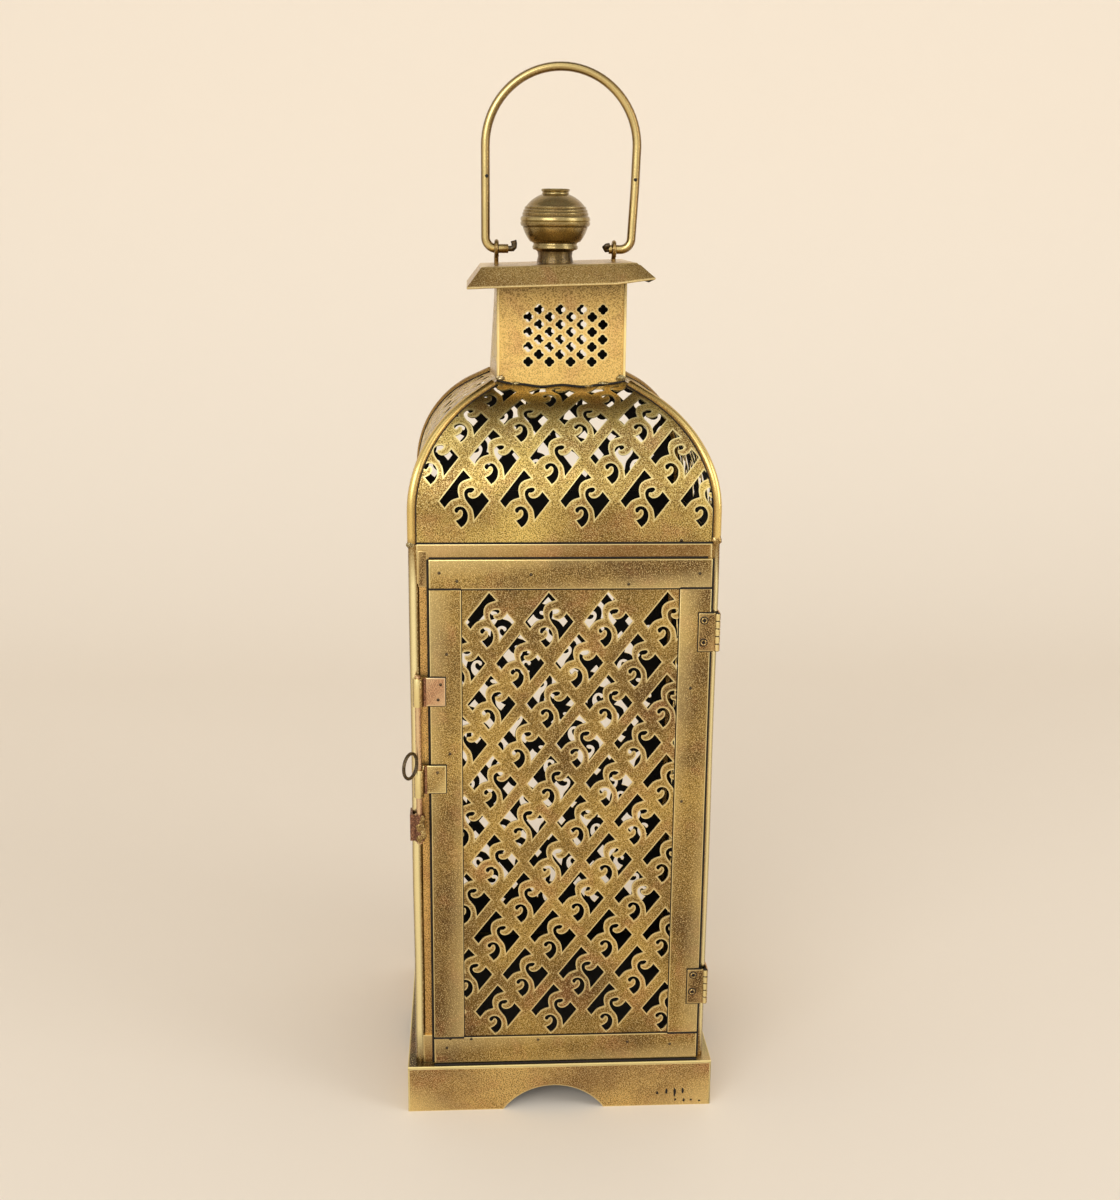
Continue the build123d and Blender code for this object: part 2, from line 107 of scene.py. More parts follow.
# Chimney and its holes
hole_pitch = 5.3 * mm
hole_row = 7.35 * mm
hole_shift = 2.0 * mm
hole_rise = 22.0 * mm
hole_rim = 0.55 * mm
hole_columns = 8
hole_rows = 4
lobe_reach = 1.2 * mm
lobe_radius = 1.3 * mm
lobe_points = 24
flue_lean = 3.4 * mm
flue_short = 2.5 * mm
flue_fold_rise = 1.5 * mm

# Cap: its tilt, how much narrower its top is, and the corner that is bent up and out
cap_tilt = radians(-2.0)
cap_shrink = 0.8315
cap_sheet = 1.0 * mm
cap_round = 0.35 * mm
cap_cuts = 9
cap_bend_start = 0.6
cap_bend_rise = 2.2 * mm
cap_bend_out = 0.8 * mm

# Bail and eyes
bail_wire = 2.25 * mm
bail_bend = 5.5 * mm
bail_lug = 11.5 * mm
leg_lean = 2.0 * mm
bend_steps = 8
hoop_steps = 40
eye_ring = 3.5 * mm
eye_wire = 1.15 * mm
eye_radius = 4.7 * mm
eye_steps = 24

# Posts: how far they sway, and how fast from post to post and upwards, per metre
post_sway = 0.35 * mm
sway_apart = 90
sway_rate = 14
post_steps = 14

# Door fittings
leaf_thickness = 0.8 * mm
leaf_short = 0.9 * mm
knuckle_radius = 1.5 * mm
knuckle_round = 0.3 * mm
knuckle_gap = 0.45 * mm
knuckles = 5
pin_radius = 1.15 * mm
latch_plate_front = 79.1 * mm
latch_plate_thickness = 1.0 * mm
latch_plate_inset = 1.8 * mm
latch_fold_inset = 3.3 * mm
sleeve_radius = 2.5 * mm
sleeve_wall = 0.9 * mm
sleeve_round = 0.2 * mm
bolt_round = 0.4 * mm
ring_radius = 6.3 * mm
ring_squash = 0.97
ring_wire = 0.85 * mm
ring_gap = 1.9 * mm
ring_turn = radians(-29)
ring_steps = 38
stud_steps = 14

# Half width of a dark line of painted shade
shade_line_half_width = 0.55 * mm

# How large the patches in the finishes are
cloud_size = 45 * mm
blotch_size = 19 * mm
grain_size = 0.52 * mm
dent_size = 24 * mm
bloom_size = 14 * mm
tooth_size = 3 * mm

sides = {"front": 0, "right": 90, "back": 180, "left": 270}
corners = {"front_right": 0, "back_right": 90, "back_left": 180, "front_left": 270}


# Finishes

def linear(code):
    """Linear colour of an sRGB hex value"""
    channels = [int(code[start:start + 2], 16) / 255 for start in (1, 3, 5)]
    return (*[c / 12.92 if c <= 0.04045 else ((c + 0.055) / 1.055) ** 2.4 for c in channels], 1)


def feed(tree, node, feeds):
    """Feeds a node's sockets, each with a value, a hex colour or another node's output"""
    for socket, source in feeds.items():
        if isinstance(source, bpy.types.NodeSocket):
            tree.links.new(source, node.inputs[socket])
        else:
            node.inputs[socket].default_value = linear(source) if isinstance(source, str) else source


def add_node(tree, kind, output, feeds, **settings):
    """Adds a shader node with its settings and feeds, and gives the output that is used.
    A mix node's colours are its inputs 6 and 7 and its output 2"""
    added = tree.nodes.new("ShaderNode" + kind)
    for name, value in settings.items():
        setattr(added, name, value)
    feed(tree, added, feeds)
    return added.outputs[output]


def new_finish(name):
    """New material, its nodes, its shader and the place on the piece"""
    material = bpy.data.materials.new(name)
    material.use_nodes = True
    tree = material.node_tree
    return material, tree, tree.nodes["Principled BSDF"], add_node(tree, "TexCoord", "Object", {})


def antique_brass(name, gold, brown, grime_and_shade, bright_metal, speckle, roughness, copper=0.5, smoke_and_shade=None):
    """Brass sheet browned in a chemical bath and lacquered: a grain of dark specks and light flecks,
    browner in clouds, with copper showing in blotches, and bright metal where hands rub the edges and where a
    highlight is painted on.
    Smoke and painted shade darken it between two heights, from none to full"""
    material, tree, shader, place = new_finish(name)
    wear_and_highlight = add_node(tree, "Attribute", "Fac", {}, attribute_name="wear_and_highlight")
    clouds = add_node(tree, "TexNoise", "Fac", {"Vector": place, "Scale": 1 / cloud_size, "Detail": 3.0})
    browned = add_node(tree, "MapRange", "Result", {"Value": clouds, "From Min": 0.36, "From Max": 0.66})
    colour = add_node(tree, "Mix", 2, {0: browned, 6: gold, 7: brown}, data_type="RGBA")
    blotches = add_node(
        tree, "TexNoise", "Fac",
        {"Vector": place, "Scale": 1 / blotch_size, "Detail": 3.0, "Distortion": 0.6},
    )
    coppered = add_node(
        tree, "MapRange", "Result",
        {"Value": blotches, "From Min": 0.52, "From Max": 0.74, "To Max": copper},
    )
    colour = add_node(tree, "Mix", 2, {0: coppered, 6: colour, 7: "#bd7f55"}, data_type="RGBA")
    grain = add_node(tree, "TexNoise", "Fac", {"Vector": place, "Scale": 1 / grain_size, "Detail": 1.0})
    flecks = add_node(
        tree, "MapRange", "Result",
        {"Value": grain, "From Min": 0.46, "From Max": 0.28, "To Max": 0.8 * speckle},
    )
    colour = add_node(tree, "Mix", 2, {0: flecks, 6: colour, 7: bright_metal}, data_type="RGBA")
    # Rubbing and painted highlight take the dark specks off first, and then show the bright metal
    specks = add_node(tree, "MapRange", "Result", {"Value": grain, "From Min": 0.48, "From Max": 0.64})
    left = add_node(
        tree, "MapRange", "Result",
        {"Value": wear_and_highlight, "From Min": 0.0, "From Max": rim_rub, "To Min": speckle, "To Max": 0.2 * speckle},
    )
    dirt = add_node(tree, "Math", "Value", {0: specks, 1: left}, operation="MULTIPLY")
    colour = add_node(tree, "Mix", 2, {0: dirt, 6: colour, 7: grime_and_shade}, data_type="RGBA")
    brightened = add_node(
        tree, "MapRange", "Result", {"Value": wear_and_highlight, "From Min": 0.1, "From Max": 1.0, "To Max": 0.9}
    )
    colour = add_node(tree, "Mix", 2, {0: brightened, 6: colour, 7: bright_metal}, data_type="RGBA")
    if smoke_and_shade:
        # Smoke and painted shade lie mostly in the pits of the grain
        height = add_node(tree, "SeparateXYZ", "Z", {"Vector": place})
        smoked_and_shaded = add_node(
            tree, "MapRange", "Result",
            {"Value": height, "From Min": smoke_and_shade[0], "From Max": smoke_and_shade[1], "To Max": 0.85},
        )
        colour = add_node(tree, "Mix", 2, {0: smoked_and_shaded, 6: colour, 7: "#8f7340"}, data_type="RGBA")
        sooted_and_shaded = add_node(tree, "Math", "Value", {0: smoked_and_shaded, 1: specks}, operation="MULTIPLY")
        colour = add_node(tree, "Mix", 2, {0: sooted_and_shaded, 6: colour, 7: grime_and_shade}, data_type="RGBA")
    # Hand-beaten sheet is never quite flat, and the specks are pits in it
    dents = add_node(tree, "TexNoise", "Fac", {"Vector": place, "Scale": 1 / dent_size, "Detail": 1.0})
    beaten = add_node(tree, "Bump", "Normal", {"Height": dents, "Strength": 0.35, "Distance": 1.2 * mm})
    pits = {"Height": dirt, "Normal": beaten, "Strength": 0.5, "Distance": 0.08 * mm}
    pitted = add_node(tree, "Bump", "Normal", pits, invert=True)
    dulled = add_node(
        tree, "MapRange", "Result", {"Value": dirt, "To Min": roughness, "To Max": roughness + 0.2}
    )
    feed(tree, shader, {"Base Color": colour, "Roughness": dulled, "Normal": pitted, "Metallic": 1.0})
    feed(tree, shader, {"Coat Weight": 0.3, "Coat Roughness": 0.15})
    return material


def dark_matt_finish(name, colour, bloom_colour, roughness):
    """Dark matt sheet, for painted shade inside the lantern and in its joints and for dirt marks, with a
    faint uneven bloom
    """
    material, tree, shader, place = new_finish(name)
    bloom = add_node(tree, "TexNoise", "Fac", {"Vector": place, "Scale": 1 / bloom_size, "Detail": 4.0})
    uneven = add_node(
        tree, "MapRange", "Result", {"Value": bloom, "From Min": 0.4, "From Max": 0.75, "To Max": 0.6}
    )
    shade = add_node(tree, "Mix", 2, {0: uneven, 6: colour, 7: bloom_colour}, data_type="RGBA")
    feed(tree, shader, {"Base Color": shade, "Metallic": 0.4, "Roughness": roughness})
    return material


def pale_paper():
    """Pale matt paper, with a faint tooth"""
    material, tree, shader, place = new_finish("pale_paper")
    tooth = add_node(tree, "TexNoise", "Fac", {"Vector": place, "Scale": 1 / tooth_size})
    grained = add_node(tree, "Bump", "Normal", {"Height": tooth, "Strength": 0.1, "Distance": 0.1 * mm})
    feed(tree, shader, {"Base Color": "#f2e8da", "Roughness": 0.9, "Normal": grained})
    return material


pierced_brass = antique_brass("browned_brass_sheet", "#bd9b50", "#74562b", "#2a1f0c", "#fae6a8", 0.64, 0.34)
# The front dome gets a lighter copy of the brass than the other sides: painted light
front_lit_dome_brass = antique_brass(
    "painted_light_dome_brass", "#e6c66b", "#98763a", "#33240d", "#ffeeaa", 0.78, 0.3, smoke_and_shade=(362 * mm, 384 * mm)
)
# The front flue gets a lighter copy of the brass than the other sides: painted light
lit_flue_brass = antique_brass(
    "painted_light_flue_brass", "#f0c976", "#dcb062", "#4c3815", "#fbe6a2", 0.42, 0.33, smoke_and_shade=(404 * mm, 430 * mm)
)
cap_brass = antique_brass("smoked_brass_sheet", "#c09c59", "#a07c44", "#3a2a10", "#f8e6a8", 0.6, 0.33)
strip_brass = antique_brass("browned_brass_strip", "#bf9d54", "#785a31", "#2a1e0b", "#f8e2a0", 0.78, 0.33)
# The skirt's brass is painted lighter, to offset the shade near the floor
base_brass = antique_brass("painted_light_brass_skirt", "#dcb870", "#957045", "#3f2d12", "#f8e6a6", 0.75, 0.33)
# The pale bright metal of the rods and ribs shows where a highlight is painted on them
post_brass = antique_brass("painted_highlight_brass_rod", "#a17e42", "#755829", "#33250f", "#fff2b8", 0.5, 0.24, 0.2)
rib_brass = antique_brass("painted_highlight_brass_rib", "#b08a46", "#8a6a34", "#33250f", "#f4d684", 0.5, 0.26, 0.2)
# The jambs' brass is painted lighter than the strips', against the shade of their recess
shaded_brass = antique_brass("painted_light_brass_jamb", "#eec070", "#c89b58", "#2b1f0b", "#e6c880", 0.7, 0.4)
header_brass = antique_brass("smoothed_brass_strip", "#ab8445", "#8d6939", "#33250e", "#f8e2a0", 0.45, 0.32)
# The ledge's brass is painted dark, as the shade under the door
shaded_ledge_brass = antique_brass("painted_shade_brass_ledge", "#57431f", "#3d2e15", "#1c1408", "#ffeeaa", 0.8, 0.42)
fitting_brass = antique_brass("fitted_brass_plate", "#c0a05e", "#987843", "#33250f", "#fae9a8", 0.75, 0.28)
leaf_brass = antique_brass("handled_brass_leaf", "#9b7a48", "#6a4f2d", "#2b1d0b", "#dcc080", 0.9, 0.3)
copper_brass = antique_brass("coppery_brass_plate", "#d8ad7e", "#bb8867", "#452c1c", "#f0d8a8", 0.65, 0.32)
reddened_brass = antique_brass("heat_reddened_brass", "#a0724f", "#7b4f3e", "#2b1b15", "#d8b080", 0.7, 0.38)
turned_bronze = antique_brass(
    "turned_dark_bronze", "#988352", "#7d6b45", "#42361e", "#e6d08e", 0.25, 0.26, 0.1
)
dark_bronze = antique_brass("shaded_dark_bronze", "#6b5630", "#4b3b1f", "#241a0c", "#a98c55", 0.5, 0.33, 0.1)
wire_bronze = antique_brass("drawn_bronze_wire", "#8f713c", "#6b5128", "#3a2a12", "#ecd490", 0.35, 0.25, 0.15)
old_solder = antique_brass("tarnished_solder", "#b3a06c", "#6e5a36", "#2e2515", "#efe6bd", 0.8, 0.28)
dark_wire = antique_brass("blackened_wire", "#5c4d36", "#3a2f20", "#1c160e", "#8f7a52", 0.7, 0.35)
# The inner faces and the floor inside are painted near black, as the shade inside the lantern
inner_painted_shade = dark_matt_finish("painted_shade_inner_sheet", "#0d0a07", "#1d1610", 0.7)
# Dark lines of painted shade in the joints, and real dirt marks, share this finish
dirt_and_painted_shade = dark_matt_finish("dark_dirt_and_painted_shade", "#150f08", "#2a2013", 0.55)


# Ways of working

def take(piece):
    """Makes this the one selected piece"""
    bpy.ops.object.select_all(action="DESELECT")
    piece.select_set(True)
    bpy.context.view_layer.objects.active = piece


def edit(piece):
    """Opens a piece for shaping, with everything on it selected"""
    take(piece)
    bpy.ops.object.mode_set(mode="EDIT")
    bpy.ops.mesh.select_all(action="SELECT")


def close():
    """Ends the shaping of a piece"""
    bpy.ops.object.mode_set(mode="OBJECT")


def settle(piece):
    """Puts a piece's place and turn into its mesh"""
    take(piece)
    bpy.ops.object.transform_apply(location=True, rotation=True, scale=True)


def finish(piece, body, slot, *replaced):
    """Lets a piece ride on its body, in place of the plain solids that it stands for"""
    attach(piece, body)
    if replaced:
        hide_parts(*replaced)


def apply(piece, kind, **settings):
    """Adds a modifier and makes its result the mesh"""
    take(piece)
    added = piece.modifiers.new(kind.lower(), kind)
    for name, value in settings.items():
        setattr(added, name, value)
    bpy.ops.object.modifier_apply(modifier=added.name)


def set_wear_and_highlight(piece, bright_metal):
    """Writes how bright each point is made by rubbed wear and painted highlight, from 0 to 1"""
    wear_and_highlight = piece.data.attributes.get("wear_and_highlight") or piece.data.attributes.new("wear_and_highlight", "FLOAT", "POINT")
    wear_and_highlight.data.foreach_set("value", [bright_metal(vertex) for vertex in piece.data.vertices])


def dress(piece, *materials):
    """Gives a piece its finishes, the face's first"""
    for material in materials:
        piece.data.materials.append(material)


def smooth(piece, angle):
    """Shades the round faces smooth and leaves the folds sharp"""
    take(piece)
    bpy.ops.object.shade_smooth_by_angle(angle=radians(angle))


def placed(name, data):
    """New piece from a drawing or a mesh, selected alone"""
    piece = bpy.data.objects.new(name, data)
    bpy.context.collection.objects.link(piece)
    take(piece)
    return piece


def meshed(name, drawing):
    """New piece from a drawing, made into a mesh"""
    placed(name, drawing)
    bpy.ops.object.convert(target="MESH")
    return bpy.context.active_object


def clean(piece, angle):
    """Joins the points that meet, turns the faces outwards and shades the round ones smooth"""
    edit(piece)
    bpy.ops.mesh.remove_doubles(threshold=0.01 * mm)
    bpy.ops.mesh.normals_make_consistent(inside=False)
    close()
    smooth(piece, angle)


def turned_about(turn, places):
    """Places turned about the lantern's upright axis"""
    about_axis = Matrix.Rotation(radians(turn), 3, "Z")
    return [about_axis @ Vector(place) for place in places]


def upright_line(across, along, low, high):
    """Foot and head of an upright line"""
    return [(across, along, low), (across, along, high)]


def millimetres(*lengths):
    """Lengths in millimetres, as metres"""
    return [length * mm for length in lengths]


def fade_rims(sheet):
    """Rubs the cut edges bright, and lets that fade over the sheet behind their rims"""
    shape = bmesh.new()
    shape.from_mesh(sheet.data)
    if sum(face.normal.z for face in shape.faces) < 0:
        bmesh.ops.reverse_faces(shape, faces=shape.faces)
    wear_and_highlight = {vertex: 1.0 if vertex.is_boundary else rim_rub for vertex in shape.verts}
    inner = {face for face in shape.faces if not any(vertex.is_boundary for vertex in face.verts)}
    spans = [edge for edge in shape.edges if inner.issuperset(edge.link_faces)]
    for edge in spans:
        near, far = edge.verts
        length = edge.calc_length()
        if length > 2 * rub_fade:
            first = bmesh.utils.edge_split(edge, near, rub_fade / length)[1]
            rest = next(other for other in first.link_edges if far in other.verts)
            second = bmesh.utils.edge_split(rest, far, rub_fade / rest.calc_length())[1]
            wear_and_highlight[first] = wear_and_highlight[second] = 0.0
        elif length > rub_fade:
            middle = bmesh.utils.edge_split(edge, near, 0.5)[1]
            wear_and_highlight[middle] = rim_rub * (1 - length / (2 * rub_fade))
    bmesh.ops.triangulate(shape, faces=list(inner))
    shape.verts.index_update()
    bright_metal = {vertex.index: wear_and_highlight[vertex] for vertex in shape.verts}
    shape.to_mesh(sheet.data)
    shape.free()
    set_wear_and_highlight(sheet, lambda vertex: bright_metal[vertex.index])


def cut_sheet(name, outline, openings=(), rim=rubbed_rim):
    """Flat sheet in X and Y, cut along its outline and openings, with a rim along each cut.
    It is drawn a thousand times too large, because small drawings fill badly"""
    drawing = bpy.data.curves.new(name, "CURVE")
    drawing.dimensions = "2D"
    drawing.fill_mode = "BOTH"
    drawing.resolution_u = curve_steps
    for points in [outline, *openings]:
        line = drawing.splines.new("BEZIER")
        line.bezier_points.add(len(points) - 1)
        line.use_cyclic_u = True
        for knot, (across, up, sharp) in zip(line.bezier_points, points):
            knot.co = (across / mm, up / mm, 0)
            knot.handle_left_type = knot.handle_right_type = "VECTOR" if sharp else "AUTO"
    sheet = meshed(name, drawing)
    edit(sheet)
    bpy.ops.mesh.remove_doubles(threshold=0.0001)
    bpy.ops.mesh.beautify_fill(angle_limit=pi)
    bpy.ops.mesh.normals_make_consistent(inside=False)
    bpy.ops.mesh.inset(thickness=rim / mm, use_boundary=True)
    close()
    sheet.scale = (mm, mm, mm)
    settle(sheet)
    fade_rims(sheet)
    return sheet


def stand(sheet, out, turn):
    """Stands a flat sheet up on one side of the lantern, with its face outwards"""
    sheet.rotation_euler = (radians(90), 0, radians(turn))
    sheet.location = turned_about(turn, [(0, -out, 0)])[0]
    settle(sheet)


def thicken(sheet, thickness):
    """Gives a sheet its thickness, inwards from its face"""
    apply(sheet, "SOLIDIFY", thickness=thickness, offset=-1, material_offset=1)


def round_edges(piece, width):
    """Rounds the sharp edges of a strip or plate"""
    apply(piece, "BEVEL", width=width, segments=2, limit_method="ANGLE", angle_limit=radians(50))


def rectangle(left, right, low, high):
    """Corners of an upright rectangle"""
    return [(left, low, True), (right, low, True), (right, high, True), (left, high, True)]


def at_depth(along, outline):
    """Points of an upright outline, all at one depth"""
    return [(across, along, height) for across, height, sharp in outline]


def strip(name, outline, face, thickness, turn, body, slot, finish_brass, *replaced):
    """Strip or plate on one side of the lantern, with rounded, rubbed edges"""
    piece = cut_sheet(name, outline)
    stand(piece, face, turn)
    dress(piece, finish_brass, dirt_and_painted_shade)
    thicken(piece, thickness)
    round_edges(piece, edge_round)
    smooth(piece, angle=30)
    finish(piece, body, slot, *replaced)


def lay(name, half, top, thickness, face_finish, back_finish, *replaced):
    """Square plate that lies level"""
    plate = cut_sheet(name, rectangle(-half, half, -half, half))
    plate.location.z = top
    settle(plate)
    dress(plate, face_finish, back_finish)
    thicken(plate, thickness)
    round_edges(plate, edge_round)
    finish(plate, "frame", "frame_strip", *replaced)


def rod(name, path, radius, material, body, slot, *replaced, closed=False, rounding=None, wear_and_highlight=None):
    """Round rod along a path, with rounded ends and a side brightened by wear and painted highlight, where
    these are given
    """
    drawing = bpy.data.curves.new(name, "CURVE")
    drawing.dimensions = "3D"
    drawing.bevel_depth = radius
    drawing.bevel_resolution = 4
    drawing.use_fill_caps = not closed
    line = drawing.splines.new("POLY")
    line.points.add(len(path) - 1)
    line.use_cyclic_u = closed
    for point, place in zip(line.points, path):
        point.co = (*place, 1)
    piece = meshed(name, drawing)
    clean(piece, angle=50)
    if rounding:
        round_edges(piece, rounding)
        smooth(piece, angle=35)
    dress(piece, material)
    if wear_and_highlight:
        set_wear_and_highlight(piece, wear_and_highlight)
    finish(piece, body, slot, *replaced)


def painted_shade_seam(name, path, body, slot, closed=False, width=shade_line_half_width):
    """Dark line of painted shade, where one sheet meets another and shade falls in the joint"""
    rod(name, path, width, dirt_and_painted_shade, body, slot, closed=closed)


def painted_highlight(toward, most, least=0.72):
    """Painted highlight along the side of a round piece that faces one way, as far round as a cosine allows
    """
    outward = Vector(toward).normalized()
    fade = 0.7 * (1 - least)
    return lambda vertex: most * min(max((vertex.normal.dot(outward) - least) / fade, 0), 1)


def turned(name, profile, steps):
    """Shape turned about the upright axis, from a profile of radius and height"""
    mesh = bpy.data.meshes.new(name)
    points = [(radius, 0, height) for radius, height in profile]
    mesh.from_pydata(points, [(i, i + 1) for i in range(len(points) - 1)], [])
    piece = placed(name, mesh)
    edit(piece)
    bpy.ops.mesh.spin(steps=steps, angle=2 * pi, center=(0, 0, 0), axis=(0, 0, 1))
    close()
    clean(piece, angle=35)
    return piece


def stud(name, profile, spot, front, material, body, slot):
    """Small turned head that faces the front, at a spot across and up in millimetres"""
    head = turned(name, [millimetres(*point) for point in profile], stud_steps)
    head.rotation_euler = (radians(90), 0, 0)
    head.location = (spot[0] * mm, front, spot[1] * mm)
    settle(head)
    dress(head, material)
    finish(head, body, slot)


def solder_drop(name, place, size, material=old_solder):
    """Drop of solder or dirt that ran and set on the frame; its half sizes are in millimetres"""
    bpy.ops.mesh.primitive_ico_sphere_add(subdivisions=3, radius=1)
    drop = bpy.context.active_object
    drop.name = name
    size = millimetres(*size)
    for vertex in drop.data.vertices:
        swell = 1 + 0.5 * noise.noise(vertex.co * 1.5 + Vector(place) / mm)
        vertex.co = [place[axis] + vertex.co[axis] * swell * size[axis] for axis in range(3)]
    smooth(drop, angle=180)
    dress(drop, material)
    finish(drop, "frame", "frame_strip")


# Pierced scroll: the openings, in thousandths of the pitch across and of the row down; 1 marks a corner
spear = (
    (0, 0, 1), (121, 190, 1), (-47, 293, 0), (-93, 442, 0), (-74, 633, 1),
    (-205, 701, 0), (-279, 810, 0), (-312, 871, 1), (-400, 714, 1),
)
leaf = (
    (423, 707, 1), (302, 503, 1), (247, 599, 0), (163, 653, 0), (92, 622, 0), (71, 560, 0), (84, 524, 0),
    (116, 524, 0), (163, 490, 0), (177, 435, 0), (107, 408, 0), (23, 476, 0), (14, 599, 0), (60, 735, 0),
    (144, 898, 0), (172, 1088, 0), (177, 1150, 1),
)
comma = (
    (-153, 925, 0), (-116, 857, 0), (-23, 844, 0), (51, 939, 0), (70, 1102, 0), (23, 1252, 0), (-42, 1333, 1),
    (-135, 1170, 1), (-51, 1102, 0), (-14, 1007, 0), (-33, 925, 0), (-70, 925, 0), (-116, 993, 0),
)
comma_drop = max(down for across, down, sharp in comma) * scroll_row / 1000


def scrolls(tip, rows, lean, sheet, window):
    """Openings in staggered rows about a tip, that fit between the sheet's sides and show in the window"""
    shapes = []
    for row in rows:
        for column in range(-scroll_columns, scroll_columns + 1):
            across = tip[0] + (column + (row % 2) / 2) * scroll_pitch + row * lean
            up = tip[1] - row * scroll_row
            for knots in (spear, leaf, comma):
                points = []
                for x, y, sharp in knots:
                    points.append((across + x * scroll_pitch / 1000, up - y * scroll_row / 1000, sharp))
                left = min(point[0] for point in points)
                right = max(point[0] for point in points)
                if sheet[0] <= left and right <= sheet[1] and window[0] < right and left < window[1]:
                    shapes.append(points)
    return shapes


# Door sheet
door_near, door_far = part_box("door_panel")
door_left, door_front, door_low = door_near
door_right, door_top = door_far[0], door_far[2]
opening_left = door_left + stile_width
opening_right = door_right - stile_width
opening_low = door_low + rail_width
opening_top = door_top - rail_width
door_tip = (door_left + scroll_pitch, opening_top - scroll_top_gap)
door_reach = (door_left + sheet_margin, door_right - sheet_margin)
door_sheet = cut_sheet(
    "door_sheet",
    rectangle(door_left, door_right, door_low, door_top),
    scrolls(door_tip, range(scroll_rows), door_lean, door_reach, (opening_left, opening_right)),
)
stand(door_sheet, -door_front, 0)
dress(door_sheet, pierced_brass, inner_painted_shade)
thicken(door_sheet, sheet_thickness)
finish(door_sheet, "door", "pierced_sheet", "door_panel")

# Walls on the other three sides
body_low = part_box("wall_back")[0][2]
wall_half, wall_face, body_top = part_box("wall_back")[1]
header_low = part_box("header_back")[0][2]
wall_tip = (0, header_low - scroll_top_gap)
wall_room = (wall_margin - wall_half, wall_half - wall_margin)
for side in ("right", "back", "left"):
    wall = cut_sheet(
        f"{side}_sheet",
        rectangle(-wall_half, wall_half, body_low, body_top),
        scrolls(wall_tip, range(scroll_rows), 0, wall_room, wall_room),
    )
    stand(wall, wall_face, sides[side])
    dress(wall, pierced_brass, inner_painted_shade)
    thicken(wall, sheet_thickness)
    finish(wall, "frame", "pierced_sheet", f"wall_{side}")

# Dome: an upright foot, a round shoulder and a straight slope up to the chimney
dome_low = body_top
chimney_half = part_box("chimney_front")[1][0]
dome_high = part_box("dome_front")[1][2]
dome_half = -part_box("dome_front")[0][1]
knee = dome_high - (dome_half - chimney_half) * tan(dome_slope)
arc_turn = pi / 2 - dome_slope
arc_start = knee - shoulder_radius * tan(arc_turn / 2)
upright = arc_start - dome_low
arc_length = shoulder_radius * arc_turn


def on_dome(rise):
    """How far out and how high the dome is, at a rise measured along its sheet"""
    if rise < upright:
        return dome_half, dome_low + rise
    turned_by = min((rise - upright) / shoulder_radius, arc_turn)
    out = dome_half - shoulder_radius * (1 - cos(turned_by))
    up = arc_start + shoulder_radius * sin(turned_by)
    beyond = max(rise - upright - arc_length, 0)
    return out - beyond * cos(dome_slope), up + beyond * sin(dome_slope)


def rim_drop(across):
    """How far the dome's front rim has sunk below the foot of the chimney"""
    held = max(1 - (across / chimney_half) ** 4, 0)
    return held * (rim_sag + rim_ripple * cos(2 * pi * (across - ripple_crest) / ripple_length))


flat_half = dome_half + 2 * scroll_pitch
flat_reach = (sheet_margin - flat_half, flat_half - sheet_margin)
dome_tip = (dome_scroll_shift, dome_margin + comma_drop)
flat_top = dome_tip[1] + (dome_rows - 1) * scroll_row + sheet_margin
# The lowest row stops short of the left rib
foot_row = scrolls(dome_tip, (0,), 0, (sheet_margin - dome_half, flat_reach[1]), flat_reach)
dome_openings = scrolls(dome_tip, range(1 - dome_rows, 0), 0, flat_reach, flat_reach) + foot_row
# The sheet is cut into rows where it bends, round the shoulder and where the rim sinks
slope_start = upright + arc_length
rim_rise = slope_start + (on_dome(slope_start)[0] - chimney_half) / cos(dome_slope)
bend_rises = [upright + arc_length * row / bend_rows for row in range(bend_rows + 1)]
bend_rises += [rim_rise - sag_reach / cos(dome_slope) * row / sag_rows for row in range(sag_rows)]
for side, turn in sides.items():
    dome = cut_sheet(f"{side}_dome", rectangle(-flat_half, flat_half, 0, flat_top), dome_openings)
    edit(dome)
    for rise in bend_rises:
        bpy.ops.mesh.select_all(action="SELECT")
        bpy.ops.mesh.bisect(plane_co=(0, rise, 0), plane_no=(0, 1, 0))
    close()
    for vertex in dome.data.vertices:
        out, up = on_dome(vertex.co.y)
        if side == "front":
            near = min(max(1 - (out - chimney_half) / sag_reach, 0), 1)
            up -= rim_drop(vertex.co.x) * near**2 * (3 - 2 * near)
        vertex.co = (vertex.co.x, -out, up)
    # Mitred to its neighbours at the ribs, and cut off where the chimney stands
    edit(dome)
    for edge_out, away in ((0, (1, 1, 0)), (0, (-1, 1, 0)), (chimney_half - chimney_lap, (0, 1, 0))):
        bpy.ops.mesh.select_all(action="SELECT")
        bpy.ops.mesh.bisect(plane_co=(0, -edge_out, 0), plane_no=away, clear_outer=True)
    close()
    dome.rotation_euler = (0, 0, radians(turn))
    settle(dome)
    # Only the front dome is painted lighter
    dress(dome, front_lit_dome_brass if side == "front" else pierced_brass, inner_painted_shade)
    thicken(dome, sheet_thickness if side == "front" else slit_sheet)
    smooth(dome, angle=30)
    finish(dome, "frame", "roof_sheet", f"dome_{side}")

